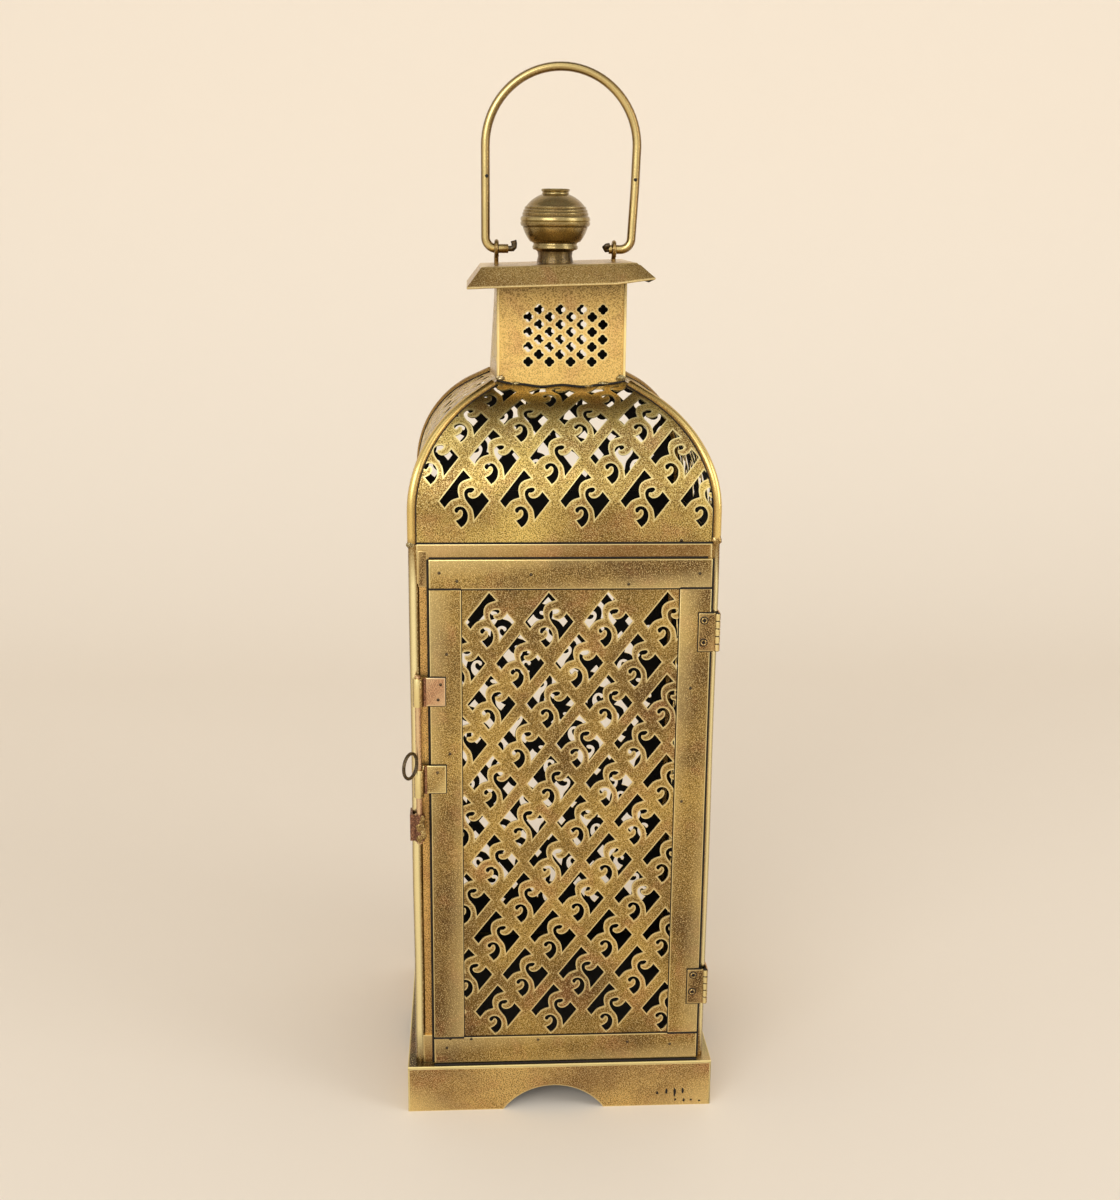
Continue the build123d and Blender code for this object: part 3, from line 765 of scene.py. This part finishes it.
# Ribs: rods soldered over the mitres, from the posts to the chimney, with painted shade along both sides
rib_sink = rib_radius - (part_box("rib_front_right")[1][0] - dome_half)
rib_top = slope_start + (dome_half - chimney_half) / cos(dome_slope) * rib_climb
for corner, turn in corners.items():
    path = []
    front_seam = []
    side_seam = []
    for step in range(rib_steps + 1):
        out, up = on_dome(rib_top * step / rib_steps)
        path.append((out - rib_sink, rib_sink - out, up + rib_lift))
        front_seam.append((out - rib_seam, -out, up))
        side_seam.append((out, rib_seam - out, up))
    # A highlight is painted along the side of each rib that faces forward and up
    forward = -0.6 if "front" in corner else 0.6
    toward = turned_about(turn, [(1, -1, 0)])[0] + Vector((0, forward, 0.5))
    rod(
        f"{corner}_rib", turned_about(turn, path), rib_radius, rib_brass,
        "frame", "frame_strip", f"rib_{corner}", wear_and_highlight=painted_highlight(toward, most=0.9, least=0.35),
    )
    for name, seam in (("front", front_seam), ("side", side_seam)):
        painted_shade_seam(f"{corner}_rib_{name}_seam", turned_about(turn, seam), "frame", "roof_sheet")
rib_feet = {
    "left": ((-74.8, -75.6, 304.4), (2.0, 0.9, 1.3), old_solder),
    "right": ((74.1, -75.6, 305.9), (2.2, 1.0, 2.2), post_brass),
}
for hand, (place, size, material) in rib_feet.items():
    solder_drop(f"{hand}_rib_foot", millimetres(*place), size, material)

# Chimney: four pierced flue walls, the left one sprung out at its back
chimney_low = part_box("chimney_front")[0][2]
chimney_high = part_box("chimney_front")[1][2] - flue_short
hole_middle = dome_high + hole_rise


def quatrefoil(across, up):
    """Four round lobes about a place"""
    points = []
    for step in range(lobe_points):
        turn = 2 * pi * step / lobe_points
        off = (turn + pi / 4) % (pi / 2) - pi / 4
        reach = lobe_reach * cos(off) + sqrt(lobe_radius**2 - (lobe_reach * sin(off)) ** 2)
        points.append((across + reach * cos(turn), up + reach * sin(turn), True))
    return points


holes = []
for column in range(hole_columns):
    for row in range(hole_rows):
        across = hole_shift + (column - (hole_columns - 1) / 2) * hole_pitch
        up = hole_middle + ((hole_rows - 1) / 2 - row) * hole_row + (column % 2 - 0.5) * hole_row / 2
        holes.append(quatrefoil(across, up))
for side, turn in sides.items():
    foot = chimney_low - rim_sag - rim_ripple if side == "front" else chimney_low
    outline = rectangle(-chimney_half, chimney_half, foot, chimney_high)
    flue = cut_sheet(f"{side}_flue", outline, holes, hole_rim)
    stand(flue, chimney_half, turn)
    if side == "left":
        for vertex in flue.data.vertices:
            backward = (vertex.co.y + chimney_half) / (2 * chimney_half)
            downward = (chimney_high - vertex.co.z) / (chimney_high - chimney_low)
            vertex.co.x -= flue_lean * backward * downward
    # Only the front flue is painted lighter
    dress(flue, lit_flue_brass if side == "front" else pierced_brass, inner_painted_shade)
    thicken(flue, sheet_thickness)
    finish(flue, "frame", "roof_sheet", f"chimney_{side}")
for corner, turn in corners.items():
    path = upright_line(chimney_half, -chimney_half, chimney_low + flue_fold_rise, chimney_high)
    rod(
        f"{corner}_flue_fold", turned_about(turn, path), fold_radius, lit_flue_brass,
        "frame", "roof_sheet", wear_and_highlight=lambda vertex: 0.8,
    )
# A dark line of painted shade runs round the chimney's foot, where it meets the dome
seam_half = chimney_half + 0.3 * mm
seam_height = dome_high - 0.2 * mm
path = [(-seam_half, seam_half, seam_height)]
for step in range(rim_steps + 1):
    across = seam_half * (2 * step / rim_steps - 1)
    path.append((across, -seam_half, seam_height - rim_drop(across)))
path.append((seam_half, seam_half, seam_height))
painted_shade_seam("flue_foot_seam", path, "frame", "roof_sheet", closed=True, width=0.75 * mm)
# Solder at the foot of the chimney: place across, height above the dome's rim, and half width
flue_solder = ((-30.3, 1.4, 2.2), (-23.0, 0.2, 2.6), (14.0, 0.0, 2.6), (21.5, 0.3, 3.0), (30.0, 1.8, 2.4))
solder_out = chimney_half + 0.4 * mm
for across, rise, reach in flue_solder:
    place = (across * mm, -solder_out, dome_high + rise * mm - rim_drop(across * mm))
    solder_drop(f"flue_solder_{across}", place, (reach, 0.8, 0.7 + rise / 2))

# Cap: a folded sheet with sloped edges, set on a little crooked and bent up at one corner
cap_near, cap_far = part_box("cap")
cap_low, cap_top = cap_near[2], cap_far[2]
cap_middle = (cap_low + cap_top) / 2
crown_middle = (cap_near[0] + cap_far[0]) / 2
cap_half = (cap_far[0] - cap_near[0]) / 2
bpy.ops.mesh.primitive_cube_add(size=1, location=(0, 0, cap_middle))
cap = bpy.context.active_object
cap.name = "cap_sheet"
cap.scale = (2 * cap_half, 2 * cap_half, cap_top - cap_low)
settle(cap)
shape = bmesh.new()
shape.from_mesh(cap.data)
for vertex in shape.verts:
    if vertex.co.z > cap_middle:
        vertex.co.x *= cap_shrink
        vertex.co.y *= cap_shrink
bmesh.ops.delete(shape, geom=[face for face in shape.faces if face.normal.z < -0.9], context="FACES")
bmesh.ops.subdivide_edges(shape, edges=shape.edges, cuts=cap_cuts, use_grid_fill=True)
bmesh.ops.recalc_face_normals(shape, faces=shape.faces)
top_half = 0.99 * cap_half * cap_shrink
bright_metal = []
for vertex in shape.verts:
    across, along, height = vertex.co
    low_edge = height < cap_low + 0.1 * mm
    top_edge = height > cap_top - 0.1 * mm and max(abs(across), abs(along)) > top_half
    bright_metal.append(0.6 * low_edge + 0.5 * top_edge)
    corner_share = max(across, 0) * max(-along, 0) / cap_half**2
    bent = max(corner_share - cap_bend_start, 0) / (1 - cap_bend_start)
    vertex.co.z += cap_bend_rise * bent * (height < cap_top - 1 * mm)
    vertex.co.x += cap_bend_out * bent
shape.to_mesh(cap.data)
shape.free()
set_wear_and_highlight(cap, lambda vertex: bright_metal[vertex.index])
dress(cap, cap_brass, inner_painted_shade)
thicken(cap, cap_sheet)
round_edges(cap, cap_round)
smooth(cap, angle=30)
cap.rotation_euler = (0, cap_tilt, 0)
tilted_top = Matrix.Rotation(cap_tilt, 3, "Y") @ Vector((0, 0, cap_top))
cap.location = Vector((crown_middle, 0, cap_top)) - tilted_top
settle(cap)
finish(cap, "frame", "roof_sheet", "cap")

# Finial: its profile in radius and height above the cap, both in millimetres
finial_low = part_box("finial")[0][2]
band_height = 20.8
band_half = 1.7
ball_radius = 17.2
ball_rise = 14.3
stem_top = 6.4
ball_steps = 8
finial_steps = 72


def ball_reach(height):
    """Radius of the ball above its band"""
    return ball_radius * sqrt(1 - ((height - band_height) / ball_rise) ** 2)


profile = [(0, 0.0), (9.4, 0.0), (9.2, 1.2), (8.7, 3.4), (9.0, 5.6), (9.8, 6.3), (11.0, 6.6), (11.6, 7.2)]
profile += [(11.6, 8.2), (11.2, 8.8), (11.1, 9.6), (11.7, 10.2)]
for step in range(ball_steps + 1):
    height = 10.6 + step * 7.0 / ball_steps
    profile.append((sqrt(ball_radius**2 - (height - band_height) ** 2) - 1.0 + 0.08 * step, height))
# The raised band has a line round its middle
profile += [(16.3, 17.9), (17.2, 18.2), (17.7, 19.0), (17.75, 20.2), (17.35, 20.6), (17.75, 21.0)]
profile += [(17.7, 22.2), (17.2, 23.0), (16.6, 23.3)]
# Fine lines left by the turning tool above the band
for height in (23.7, 25.2, 26.7):
    radius = ball_reach(height)
    profile += [(radius - 0.12, height), (radius, height + 0.25), (radius - 0.05, height + 0.9)]
for step in range(ball_steps + 1):
    height = 28.2 + step * 5.7 / ball_steps
    profile.append((ball_reach(height), height))
profile += [(6.9, 34.3), (6.6, 34.8), (7.1, 35.4), (7.3, 36.0), (7.0, 36.5)]
profile += [(5.6, 36.6), (5.0, 36.1), (0, 36.0)]
points = [(radius * mm, finial_low + height * mm) for radius, height in profile]
finial = turned("finial_ball", points, finial_steps)
finial.location.x = crown_middle
settle(finial)
dress(finial, turned_bronze, dark_bronze)
for face in finial.data.polygons:
    face.material_index = int(face.center.z < finial_low + stem_top * mm)
band_middle = finial_low + band_height * mm
set_wear_and_highlight(finial, lambda vertex: 0.3 if abs(vertex.co.z - band_middle) < band_half * mm else 0.0)
finish(finial, "frame", "crown", "finial")

# Wire eyes that hold the bail
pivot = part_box("eye_left")[1][2] - eye_radius
for hand in ("left", "right"):
    across = (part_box(f"eye_{hand}")[0][0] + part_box(f"eye_{hand}")[1][0]) / 2
    foot = cap_top - (across - crown_middle) * sin(cap_tilt) - 0.5 * mm
    path = upright_line(across, 0, foot, pivot - eye_ring - 0.8 * mm)
    for step in range(1, eye_steps + 1):
        turn = 2 * pi * step / eye_steps
        aside = 0.25 * mm * step / eye_steps
        path.append((across + aside, -eye_ring * sin(turn), pivot - eye_ring * cos(turn)))
    rod(f"{hand}_eye", path, eye_wire, wire_bronze, "frame", "crown", f"eye_{hand}", wear_and_highlight=lambda vertex: 0.15)

# Bail: bent wire whose right leg leans in, with blackened ends
bail_near, bail_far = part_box("bail")
leg_left = bail_near[0] + bail_wire
leg_right = bail_far[0] - bail_wire
foot_right = leg_right - leg_lean
hoop_middle = (leg_left + leg_right) / 2
hoop_radius = (leg_right - leg_left) / 2
spring = bail_far[2] - bail_wire - hoop_radius


def lug_bend(leg, inward):
    """Bend from a lug up into its leg"""
    turns = [pi / 2 * step / bend_steps for step in range(1, bend_steps + 1)]
    return [(leg + inward * bail_bend * (1 - sin(t)), 0, pivot + bail_bend * (1 - cos(t))) for t in turns]


path = [(leg_left + bail_lug, 0, pivot), (leg_left + bail_bend, 0, pivot), *lug_bend(leg_left, 1)]
path += upright_line(leg_left, 0, pivot + 20 * mm, pivot + 36 * mm)
for step in range(hoop_steps + 1):
    turn = pi * step / hoop_steps
    path.append((hoop_middle - hoop_radius * cos(turn), 0, spring + hoop_radius * sin(turn)))
path += [(leg_right - leg_lean / 3, 0, pivot + 30 * mm), *reversed(lug_bend(foot_right, -1))]
path += [(foot_right - bail_bend, 0, pivot), (foot_right - bail_lug, 0, pivot)]
# A highlight is painted along the front of the bail
bail_highlight = painted_highlight((-0.3, -1, 0.1), most=0.75)
rod("bail_wire", path, bail_wire, wire_bronze, "bail", "crown", "bail", wear_and_highlight=bail_highlight)
# Each end curls up past its eye: points across, along and up from the end, in millimetres
left_curl = ((-1, 0, 0), (2.2, 0, 0), (3.0, 0, 0.9), (3.1, 0, 2.6), (2.7, 0, 4.0))
right_curl = ((1, 0, 0), (-1.4, 0, -0.3), (-2.2, -0.8, 1.0), (-1.2, -1.6, 1.8), (0.2, -1.2, 2.0))
bail_ends = {
    "left": (leg_left + bail_lug, left_curl, 1.5 * mm),
    "right": (foot_right - bail_lug, right_curl, 1.3 * mm),
}
for hand, (end, curl, radius) in bail_ends.items():
    path = [(end + across * mm, along * mm, pivot + up * mm) for across, along, up in curl]
    rod(f"{hand}_bail_curl", path, radius, dark_wire, "bail", "crown")

# Posts: rods that sway a little, with a highlight painted on the side that shows
for corner in corners:
    low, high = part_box(f"post_{corner}")
    across, along = (low[0] + high[0]) / 2, (low[1] + high[1]) / 2
    path = []
    for step in range(post_steps + 1):
        height = low[2] + (high[2] - low[2]) * step / post_steps
        where = Vector((across * sway_apart, along * sway_apart, height * sway_rate))
        sway = noise.noise(where) * post_sway
        path.append((across + sway * (0 < step < post_steps), along, height))
    if corner == "front_right":
        # The door hides all but the outer side of this one
        wear_and_highlight = painted_highlight((0.75, -1, 0), most=1.0, least=0.9)
    else:
        outward = (0.4 if across > 0 else -0.4, 1 if along > 0 else -1, 0)
        wear_and_highlight = painted_highlight(outward, most=1.0 if corner == "front_left" else 0.8)
    radius = (high[0] - low[0]) / 2
    rod(f"{corner}_post", path, radius, post_brass, "frame", "frame_strip", f"post_{corner}", wear_and_highlight=wear_and_highlight)

# Door strips, with painted shade in the joints between them
for name in ("door_top_rail", "door_bottom_rail", "door_left_stile", "door_right_stile"):
    low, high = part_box(name)
    outline = rectangle(low[0], high[0], low[2], high[2])
    strip(f"{name}_strip", outline, -low[1], high[1] - low[1], 0, "door", "frame_strip", strip_brass, name)
strip_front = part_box("door_top_rail")[0][1]
seam_out = door_front - 0.1 * mm
window = rectangle(opening_left, opening_right, opening_low, opening_top - 0.4 * mm)
painted_shade_seam("window_seam", at_depth(seam_out, window), "door", "pierced_sheet", closed=True)
joint_out = strip_front + 0.1 * mm
for height in (opening_low, opening_top):
    for hand, near, far in (("left", door_left, opening_left), ("right", opening_right, door_right)):
        path = [(near, joint_out, height), (far, joint_out, height)]
        painted_shade_seam(f"{hand}_joint_{height:.3f}", path, "door", "frame_strip")

# Headers and sills round the body, with painted shade under the dome's foot and round the door
strip_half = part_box("header_front")[1][0] - 0.2 * mm
dome_seam_out = dome_half + 0.3 * mm
dome_seam_height = dome_low + 0.3 * mm
for side, turn in sides.items():
    axis = 1 if side in ("front", "back") else 0
    for name in ("header", "sill"):
        low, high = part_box(f"{name}_{side}")
        outline = rectangle(-strip_half, strip_half, low[2], high[2])
        face = max(abs(low[axis]), abs(high[axis]))
        strip(
            f"{side}_{name}", outline, face, high[axis] - low[axis], turn,
            "frame", "frame_strip", header_brass, f"{name}_{side}",
        )
    path = [(across, -dome_seam_out, dome_seam_height) for across in (-strip_half, strip_half)]
    painted_shade_seam(f"{side}_dome_seam", turned_about(turn, path), "frame", "roof_sheet")
header_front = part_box("header_front")[0][1]
path = [(across, header_front, door_top + 0.4 * mm) for across in (door_left, door_right - 2 * mm)]
painted_shade_seam("door_top_seam", path, "frame", "frame_strip")
path = [(across, strip_front - 0.4 * mm, body_low + 0.3 * mm) for across in (door_left, door_right)]
painted_shade_seam("door_foot_seam", path, "frame", "frame_strip", width=0.65 * mm)
for hand, across in (("hinge", door_right + 0.5 * mm), ("latch", door_left - 0.5 * mm)):
    path = upright_line(across, door_front + 0.6 * mm, door_low, door_top)
    painted_shade_seam(f"{hand}_gap_seam", path, "door", "frame_strip", width=0.7 * mm)
tab_thickness = 0.7 * mm
strip(
    "corner_tab", rectangle(*millimetres(-71.2, -66.8, 283.6, 301.5)), -header_front + tab_thickness,
    tab_thickness, 0, "frame", "frame_strip", leaf_brass,
)

# Base: four arched skirts under a plate, and a thin dark plate of painted shade on the floor inside the body
base_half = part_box("base_plate")[1][0]
skirt_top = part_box("base_plate")[0][2]
arch_radius = (arch_width**2 / 4 + arch_rise**2) / (2 * arch_rise)
arch_half_turn = asin(arch_width / 2 / arch_radius)
skirt = [(-base_half, 0, True)]
for step in range(arch_steps + 1):
    turn = arch_half_turn * (1 - 2 * step / arch_steps)
    skirt.append((arch_shift - arch_radius * sin(turn), arch_rise - arch_radius * (1 - cos(turn)), True))
skirt += [(base_half, 0, True), (base_half, skirt_top, True), (-base_half, skirt_top, True)]
for side, turn in sides.items():
    strip(
        f"{side}_skirt", skirt, base_half, plate_thickness, turn,
        "frame", "frame_strip", base_brass, f"skirt_{side}",
    )
lay("base_top", base_half, skirt_top + plate_thickness, plate_thickness, shaded_ledge_brass, inner_painted_shade, "base_plate")
lay("painted_shade_floor", wall_half - shade_plate_margin, body_low + shade_plate_rise, shade_plate_depth, inner_painted_shade, inner_painted_shade)

# Hinges: a door leaf held by two eyelets, a post leaf, and a barrel of knuckles on a dark pin
eyelet = ((0.8, 0.15), (0.9, 0.5), (1.2, 0.7), (1.5, 0.5), (1.65, 0.0))
# Each eyelet sits in a dark ring of painted shade
eyelet_shade_ring = ((0, 0.2), (0.8, 0.2), (0.9, 0.1), (1.9, 0.1), (2.1, 0.0))
eyelet_spots = {"upper": ((68.7, 266.6), (68.6, 255.4)), "lower": ((69.0, 75.3), (68.7, 65.8))}
leaf_front = strip_front - leaf_thickness
fitting_seam = strip_front - 0.15 * mm
# The knuckles get a highlight painted on their front
knuckle_highlight = painted_highlight((0, -1, 0), most=0.9)
for level in ("upper", "lower"):
    low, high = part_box(f"hinge_{level}_door_leaf")
    axle_across = high[0] - knuckle_radius
    axle_out = low[1] + knuckle_radius
    outline = rectangle(low[0], axle_across - leaf_short, low[2], high[2])
    strip(
        f"{level}_door_leaf", outline, -leaf_front, leaf_thickness, 0,
        "door", "fittings", leaf_brass, f"hinge_{level}_door_leaf",
    )
    # A line of painted shade outlines each leaf
    edge = rectangle(axle_across - 2 * mm, low[0], low[2], high[2])
    painted_shade_seam(f"{level}_leaf_seam", at_depth(fitting_seam, edge), "door", "fittings")
    for number, spot in enumerate(eyelet_spots[level]):
        stud(f"{level}_eyelet_{number}", eyelet, spot, leaf_front, fitting_brass, "door", "fittings")
        stud(f"{level}_eyelet_shade_ring_{number}", eyelet_shade_ring, spot, leaf_front, dirt_and_painted_shade, "door", "fittings")
    post_low, post_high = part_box(f"hinge_{level}_post_leaf")
    outline = rectangle(axle_out + leaf_short, post_high[1], post_low[2], post_high[2])
    strip(
        f"{level}_post_leaf", outline, post_high[0], leaf_thickness, 90,
        "frame", "fittings", reddened_brass, f"hinge_{level}_post_leaf",
    )
    path = upright_line(axle_across, axle_out, low[2], high[2])
    rod(f"{level}_hinge_pin", path, pin_radius, dirt_and_painted_shade, "frame", "fittings")
    knuckle_height = (high[2] - low[2]) / knuckles
    for number in range(knuckles):
        foot = low[2] + number * knuckle_height + knuckle_gap / 2
        path = upright_line(axle_across, axle_out, foot, foot + knuckle_height - knuckle_gap)
        rod(
            f"{level}_knuckle_{number}", path, knuckle_radius, fitting_brass,
            "door" if number % 2 else "frame", "fittings", rounding=knuckle_round, wear_and_highlight=knuckle_highlight,
        )

# Latch: two plates with sleeves on the door, the bolt and its ring, and the keeper's solder on the post
bolt_low, bolt_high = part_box("latch_bolt")
bolt_across, bolt_out = (bolt_low[0] + bolt_high[0]) / 2, (bolt_low[1] + bolt_high[1]) / 2
for level, plate_rise, plate_brass in (("upper", 0.0, copper_brass), ("lower", 1.8 * mm, fitting_brass)):
    low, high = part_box(f"latch_{level}_sleeve")
    plate_low = low[2] + plate_rise
    plate_high = high[2] + plate_rise
    outline = rectangle(bolt_across + latch_plate_inset, high[0], plate_low, plate_high)
    strip(
        f"{level}_latch_plate", outline, latch_plate_front, latch_plate_thickness, 0,
        "door", "fittings", plate_brass,
    )
    path = upright_line(bolt_across + latch_fold_inset, -latch_plate_front, plate_low, plate_high)
    rod(f"{level}_plate_fold", path, fold_radius, reddened_brass, "door", "fittings")
    # A line of painted shade outlines each plate
    edge = rectangle(door_left, high[0], plate_low, plate_high)
    painted_shade_seam(f"{level}_plate_seam", at_depth(fitting_seam, edge), "door", "fittings")
    bpy.ops.mesh.primitive_cylinder_add(
        vertices=32, radius=sleeve_radius, depth=high[2] - low[2], end_fill_type="NOTHING",
        location=(bolt_across, bolt_out, (low[2] + high[2]) / 2),
    )
    sleeve = bpy.context.active_object
    sleeve.name = f"{level}_latch_sleeve"
    settle(sleeve)
    dress(sleeve, fitting_brass)
    # The sleeves get a highlight painted on their front
    set_wear_and_highlight(sleeve, painted_highlight((-0.3, -1, 0), most=0.9))
    thicken(sleeve, sleeve_wall)
    round_edges(sleeve, sleeve_round)
    smooth(sleeve, angle=35)
    finish(sleeve, "door", "fittings", f"latch_{level}_sleeve")

bolt_path = upright_line(bolt_across, bolt_out, bolt_low[2], bolt_high[2])
bolt_radius = (bolt_high[0] - bolt_low[0]) / 2
# The bolt gets a highlight painted on its front
rod(
    "bolt_rod", bolt_path, bolt_radius, copper_brass, "bolt", "fittings", "latch_bolt",
    rounding=bolt_round, wear_and_highlight=painted_highlight((-0.3, -1, 0), most=0.7),
)

# The ring's wire runs a little past its own start
ring_middle = (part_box("bolt_ring")[0][2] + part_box("bolt_ring")[1][2]) / 2
away = Matrix.Rotation(ring_turn, 3, "Z") @ Vector((0, -1, 0))
path = []
for step in range(ring_steps + 2):
    turn = 2 * pi * step / ring_steps
    reach = ring_gap + ring_radius + ring_radius * cos(turn) * ring_squash
    height = ring_middle + ring_radius * sin(turn)
    path.append((bolt_across + away.x * reach, bolt_out + away.y * reach, height))
rod("pull_ring", path, ring_wire, dark_wire, "bolt", "fittings", "bolt_ring")

# Solder on the keeper: place across, height and half width
keeper_solder = ((-71.0, 164.4, 1.9), (-71.4, 160.6, 2.2), (-70.8, 157.0, 2.0), (-71.9, 154.8, 1.5))
keeper_front = -81.2
for number, (across, height, reach) in enumerate(keeper_solder):
    place = millimetres(across, keeper_front, height)
    solder_drop(f"keeper_solder_{number}", place, (reach, 0.7, 1.5 * reach), fitting_brass)

# Nails and rivets on the front, as places across and up
nail = ((0, 0.4), (0.35, 0.36), (0.62, 0.2), (0.8, 0.0))
nail_spots = (
    (-61.0, 290.9), (-16.6, 289.9), (-52.5, 286.8), (31.1, 285.0), (65.9, 290.1),
    (-57.7, 250.0), (-56.5, 198.5), (63.0, 231.5), (60.2, 171.7), (-59.5, 35.8),
    (-57.6, 41.0), (-46.7, 40.6), (-11.8, 39.4), (35.3, 36.9), (57.8, 35.1),
)
rivet_spots = ((-60.8, 234.9), (-62.1, 227.1), (-62.8, 189.1))
for number, spot in enumerate(nail_spots):
    stud(f"door_nail_{number}", nail, spot, strip_front, dark_wire, "door", "frame_strip")
for number, spot in enumerate(rivet_spots):
    stud(f"latch_rivet_{number}", nail, spot, -latch_plate_front, dark_wire, "door", "fittings")
stud("dome_nail", nail, (56.8, 305.9), -dome_half, dark_wire, "frame", "roof_sheet")

# Dirt streaks on the skirt: place across, height and half length
base_streaks = (
    (51.7, 7.5, 1.0), (56.6, 8.3, 1.7), (61.0, 7.6, 2.6), (65.3, 8.5, 1.6), (61.4, 3.2, 0.7),
    (66.0, 2.8, 0.9), (69.9, 2.9, 0.5), (74.3, 2.3, 0.5),
)
for number, (across, height, reach) in enumerate(base_streaks):
    place = (across * mm, -base_half, height * mm)
    solder_drop(f"base_streak_{number}", place, (0.6, 0.12, reach), dirt_and_painted_shade)

# An old punch mark on each leg of the bail
punch_mark = ((0, 0.12), (0.6, 0.1), (0.9, 0.0))
bail_marks = {"left": (-36.6, 478.0), "right": (38.5, 476.9)}
for hand, spot in bail_marks.items():
    stud(f"{hand}_bail_mark", punch_mark, spot, -bail_wire, dirt_and_painted_shade, "bail", "crown")

# Solids that keep their shape and only get a finish
kept_finishes = {"jamb_left": shaded_brass, "jamb_right": shaded_brass, "latch_keeper": reddened_brass}
for name, material in kept_finishes.items():
    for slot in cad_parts[name].material_slots:
        slot.material = material

# Floor: studio paper that sweeps up behind the lantern
sweep_back = 1.3
sweep_radius = 0.6
sweep_front = -4.0
sweep_height = 3.0
sweep_half = 14.0
sweep_steps = 12
sweep_start = sweep_back - sweep_radius
path = [(sweep_front, 0.0), (sweep_start, 0.0)]
for step in range(1, sweep_steps + 1):
    turn = pi / 2 * step / sweep_steps
    path.append((sweep_start + sweep_radius * sin(turn), sweep_radius * (1 - cos(turn))))
path.append((sweep_back, sweep_height))
paper_mesh = bpy.data.meshes.new("floor_paper")
points = [(x, y, z) for y, z in path for x in (-sweep_half, sweep_half)]
faces = [(2 * i, 2 * i + 1, 2 * i + 3, 2 * i + 2) for i in range(len(path) - 1)]
paper_mesh.from_pydata(points, [], faces)
paper = placed("floor_paper", paper_mesh)
dress(paper, pale_paper())
smooth(paper, angle=60)

# Light: a pale surround that is dimmer overhead, and three soft lamps
overhead_strength = 0.38
world = bpy.data.worlds.new("studio")
bpy.context.scene.world = world
world.use_nodes = True
sky = world.node_tree
direction = add_node(sky, "TexCoord", "Generated", {})
height = add_node(sky, "SeparateXYZ", "Z", {"Vector": direction})
dimmed = add_node(
    sky, "MapRange", "Result",
    {"Value": height, "From Min": 0.45, "From Max": 0.9, "To Min": 1.0, "To Max": overhead_strength},
)
feed(sky, sky.nodes["Background"], {"Color": "#fffaf2", "Strength": dimmed})


def softbox(name, place, aim, width, height, power):
    """Large soft lamp"""
    bpy.ops.object.light_add(type="AREA", location=place)
    lamp = bpy.context.active_object
    lamp.name = name
    lamp.data.shape = "RECTANGLE"
    lamp.data.size = width
    lamp.data.size_y = height
    lamp.data.energy = power
    lamp.rotation_euler = (Vector(aim) - Vector(place)).to_track_quat("-Z", "Y").to_euler()


softbox("front_softbox", (-0.9, -2.0, 1.25), aim=(0, 0, 0.3), width=1.6, height=1.0, power=17.5)
softbox("side_softbox", (1.6, -1.0, 0.9), aim=(0, 0, 0.3), width=0.8, height=1.4, power=8)
softbox("floor_softbox", (0, -0.7, 1.5), aim=(0, -0.5, 0), width=1.0, height=0.6, power=1.7)

# Camera: its place, aim, roll and focal length were fitted to the photograph, 1200 pixels high
camera_place = Vector((-46.25, -792.0, 455.9)) * mm
camera_aim = Vector((0.0595, 0.9684, -0.2424)).normalized()
camera_roll = 0.009412
focal_pixels = 1513.11
photo_height = 1200
sensor_height = 36
right = camera_aim.cross(Vector((0, 0, 1))).normalized()
up = right.cross(camera_aim)
rolled_right = cos(camera_roll) * right + sin(camera_roll) * up
rolled_up = cos(camera_roll) * up - sin(camera_roll) * right
bpy.ops.object.camera_add(location=camera_place)
camera = bpy.context.active_object
camera.rotation_euler = Matrix((rolled_right, rolled_up, -camera_aim)).transposed().to_euler()
camera.data.sensor_fit = "VERTICAL"
camera.data.sensor_height = sensor_height
camera.data.lens = sensor_height * focal_pixels / photo_height
camera.data.clip_start = 0.01
bpy.context.scene.camera = camera
bpy.context.scene.view_settings.view_transform = "Standard"
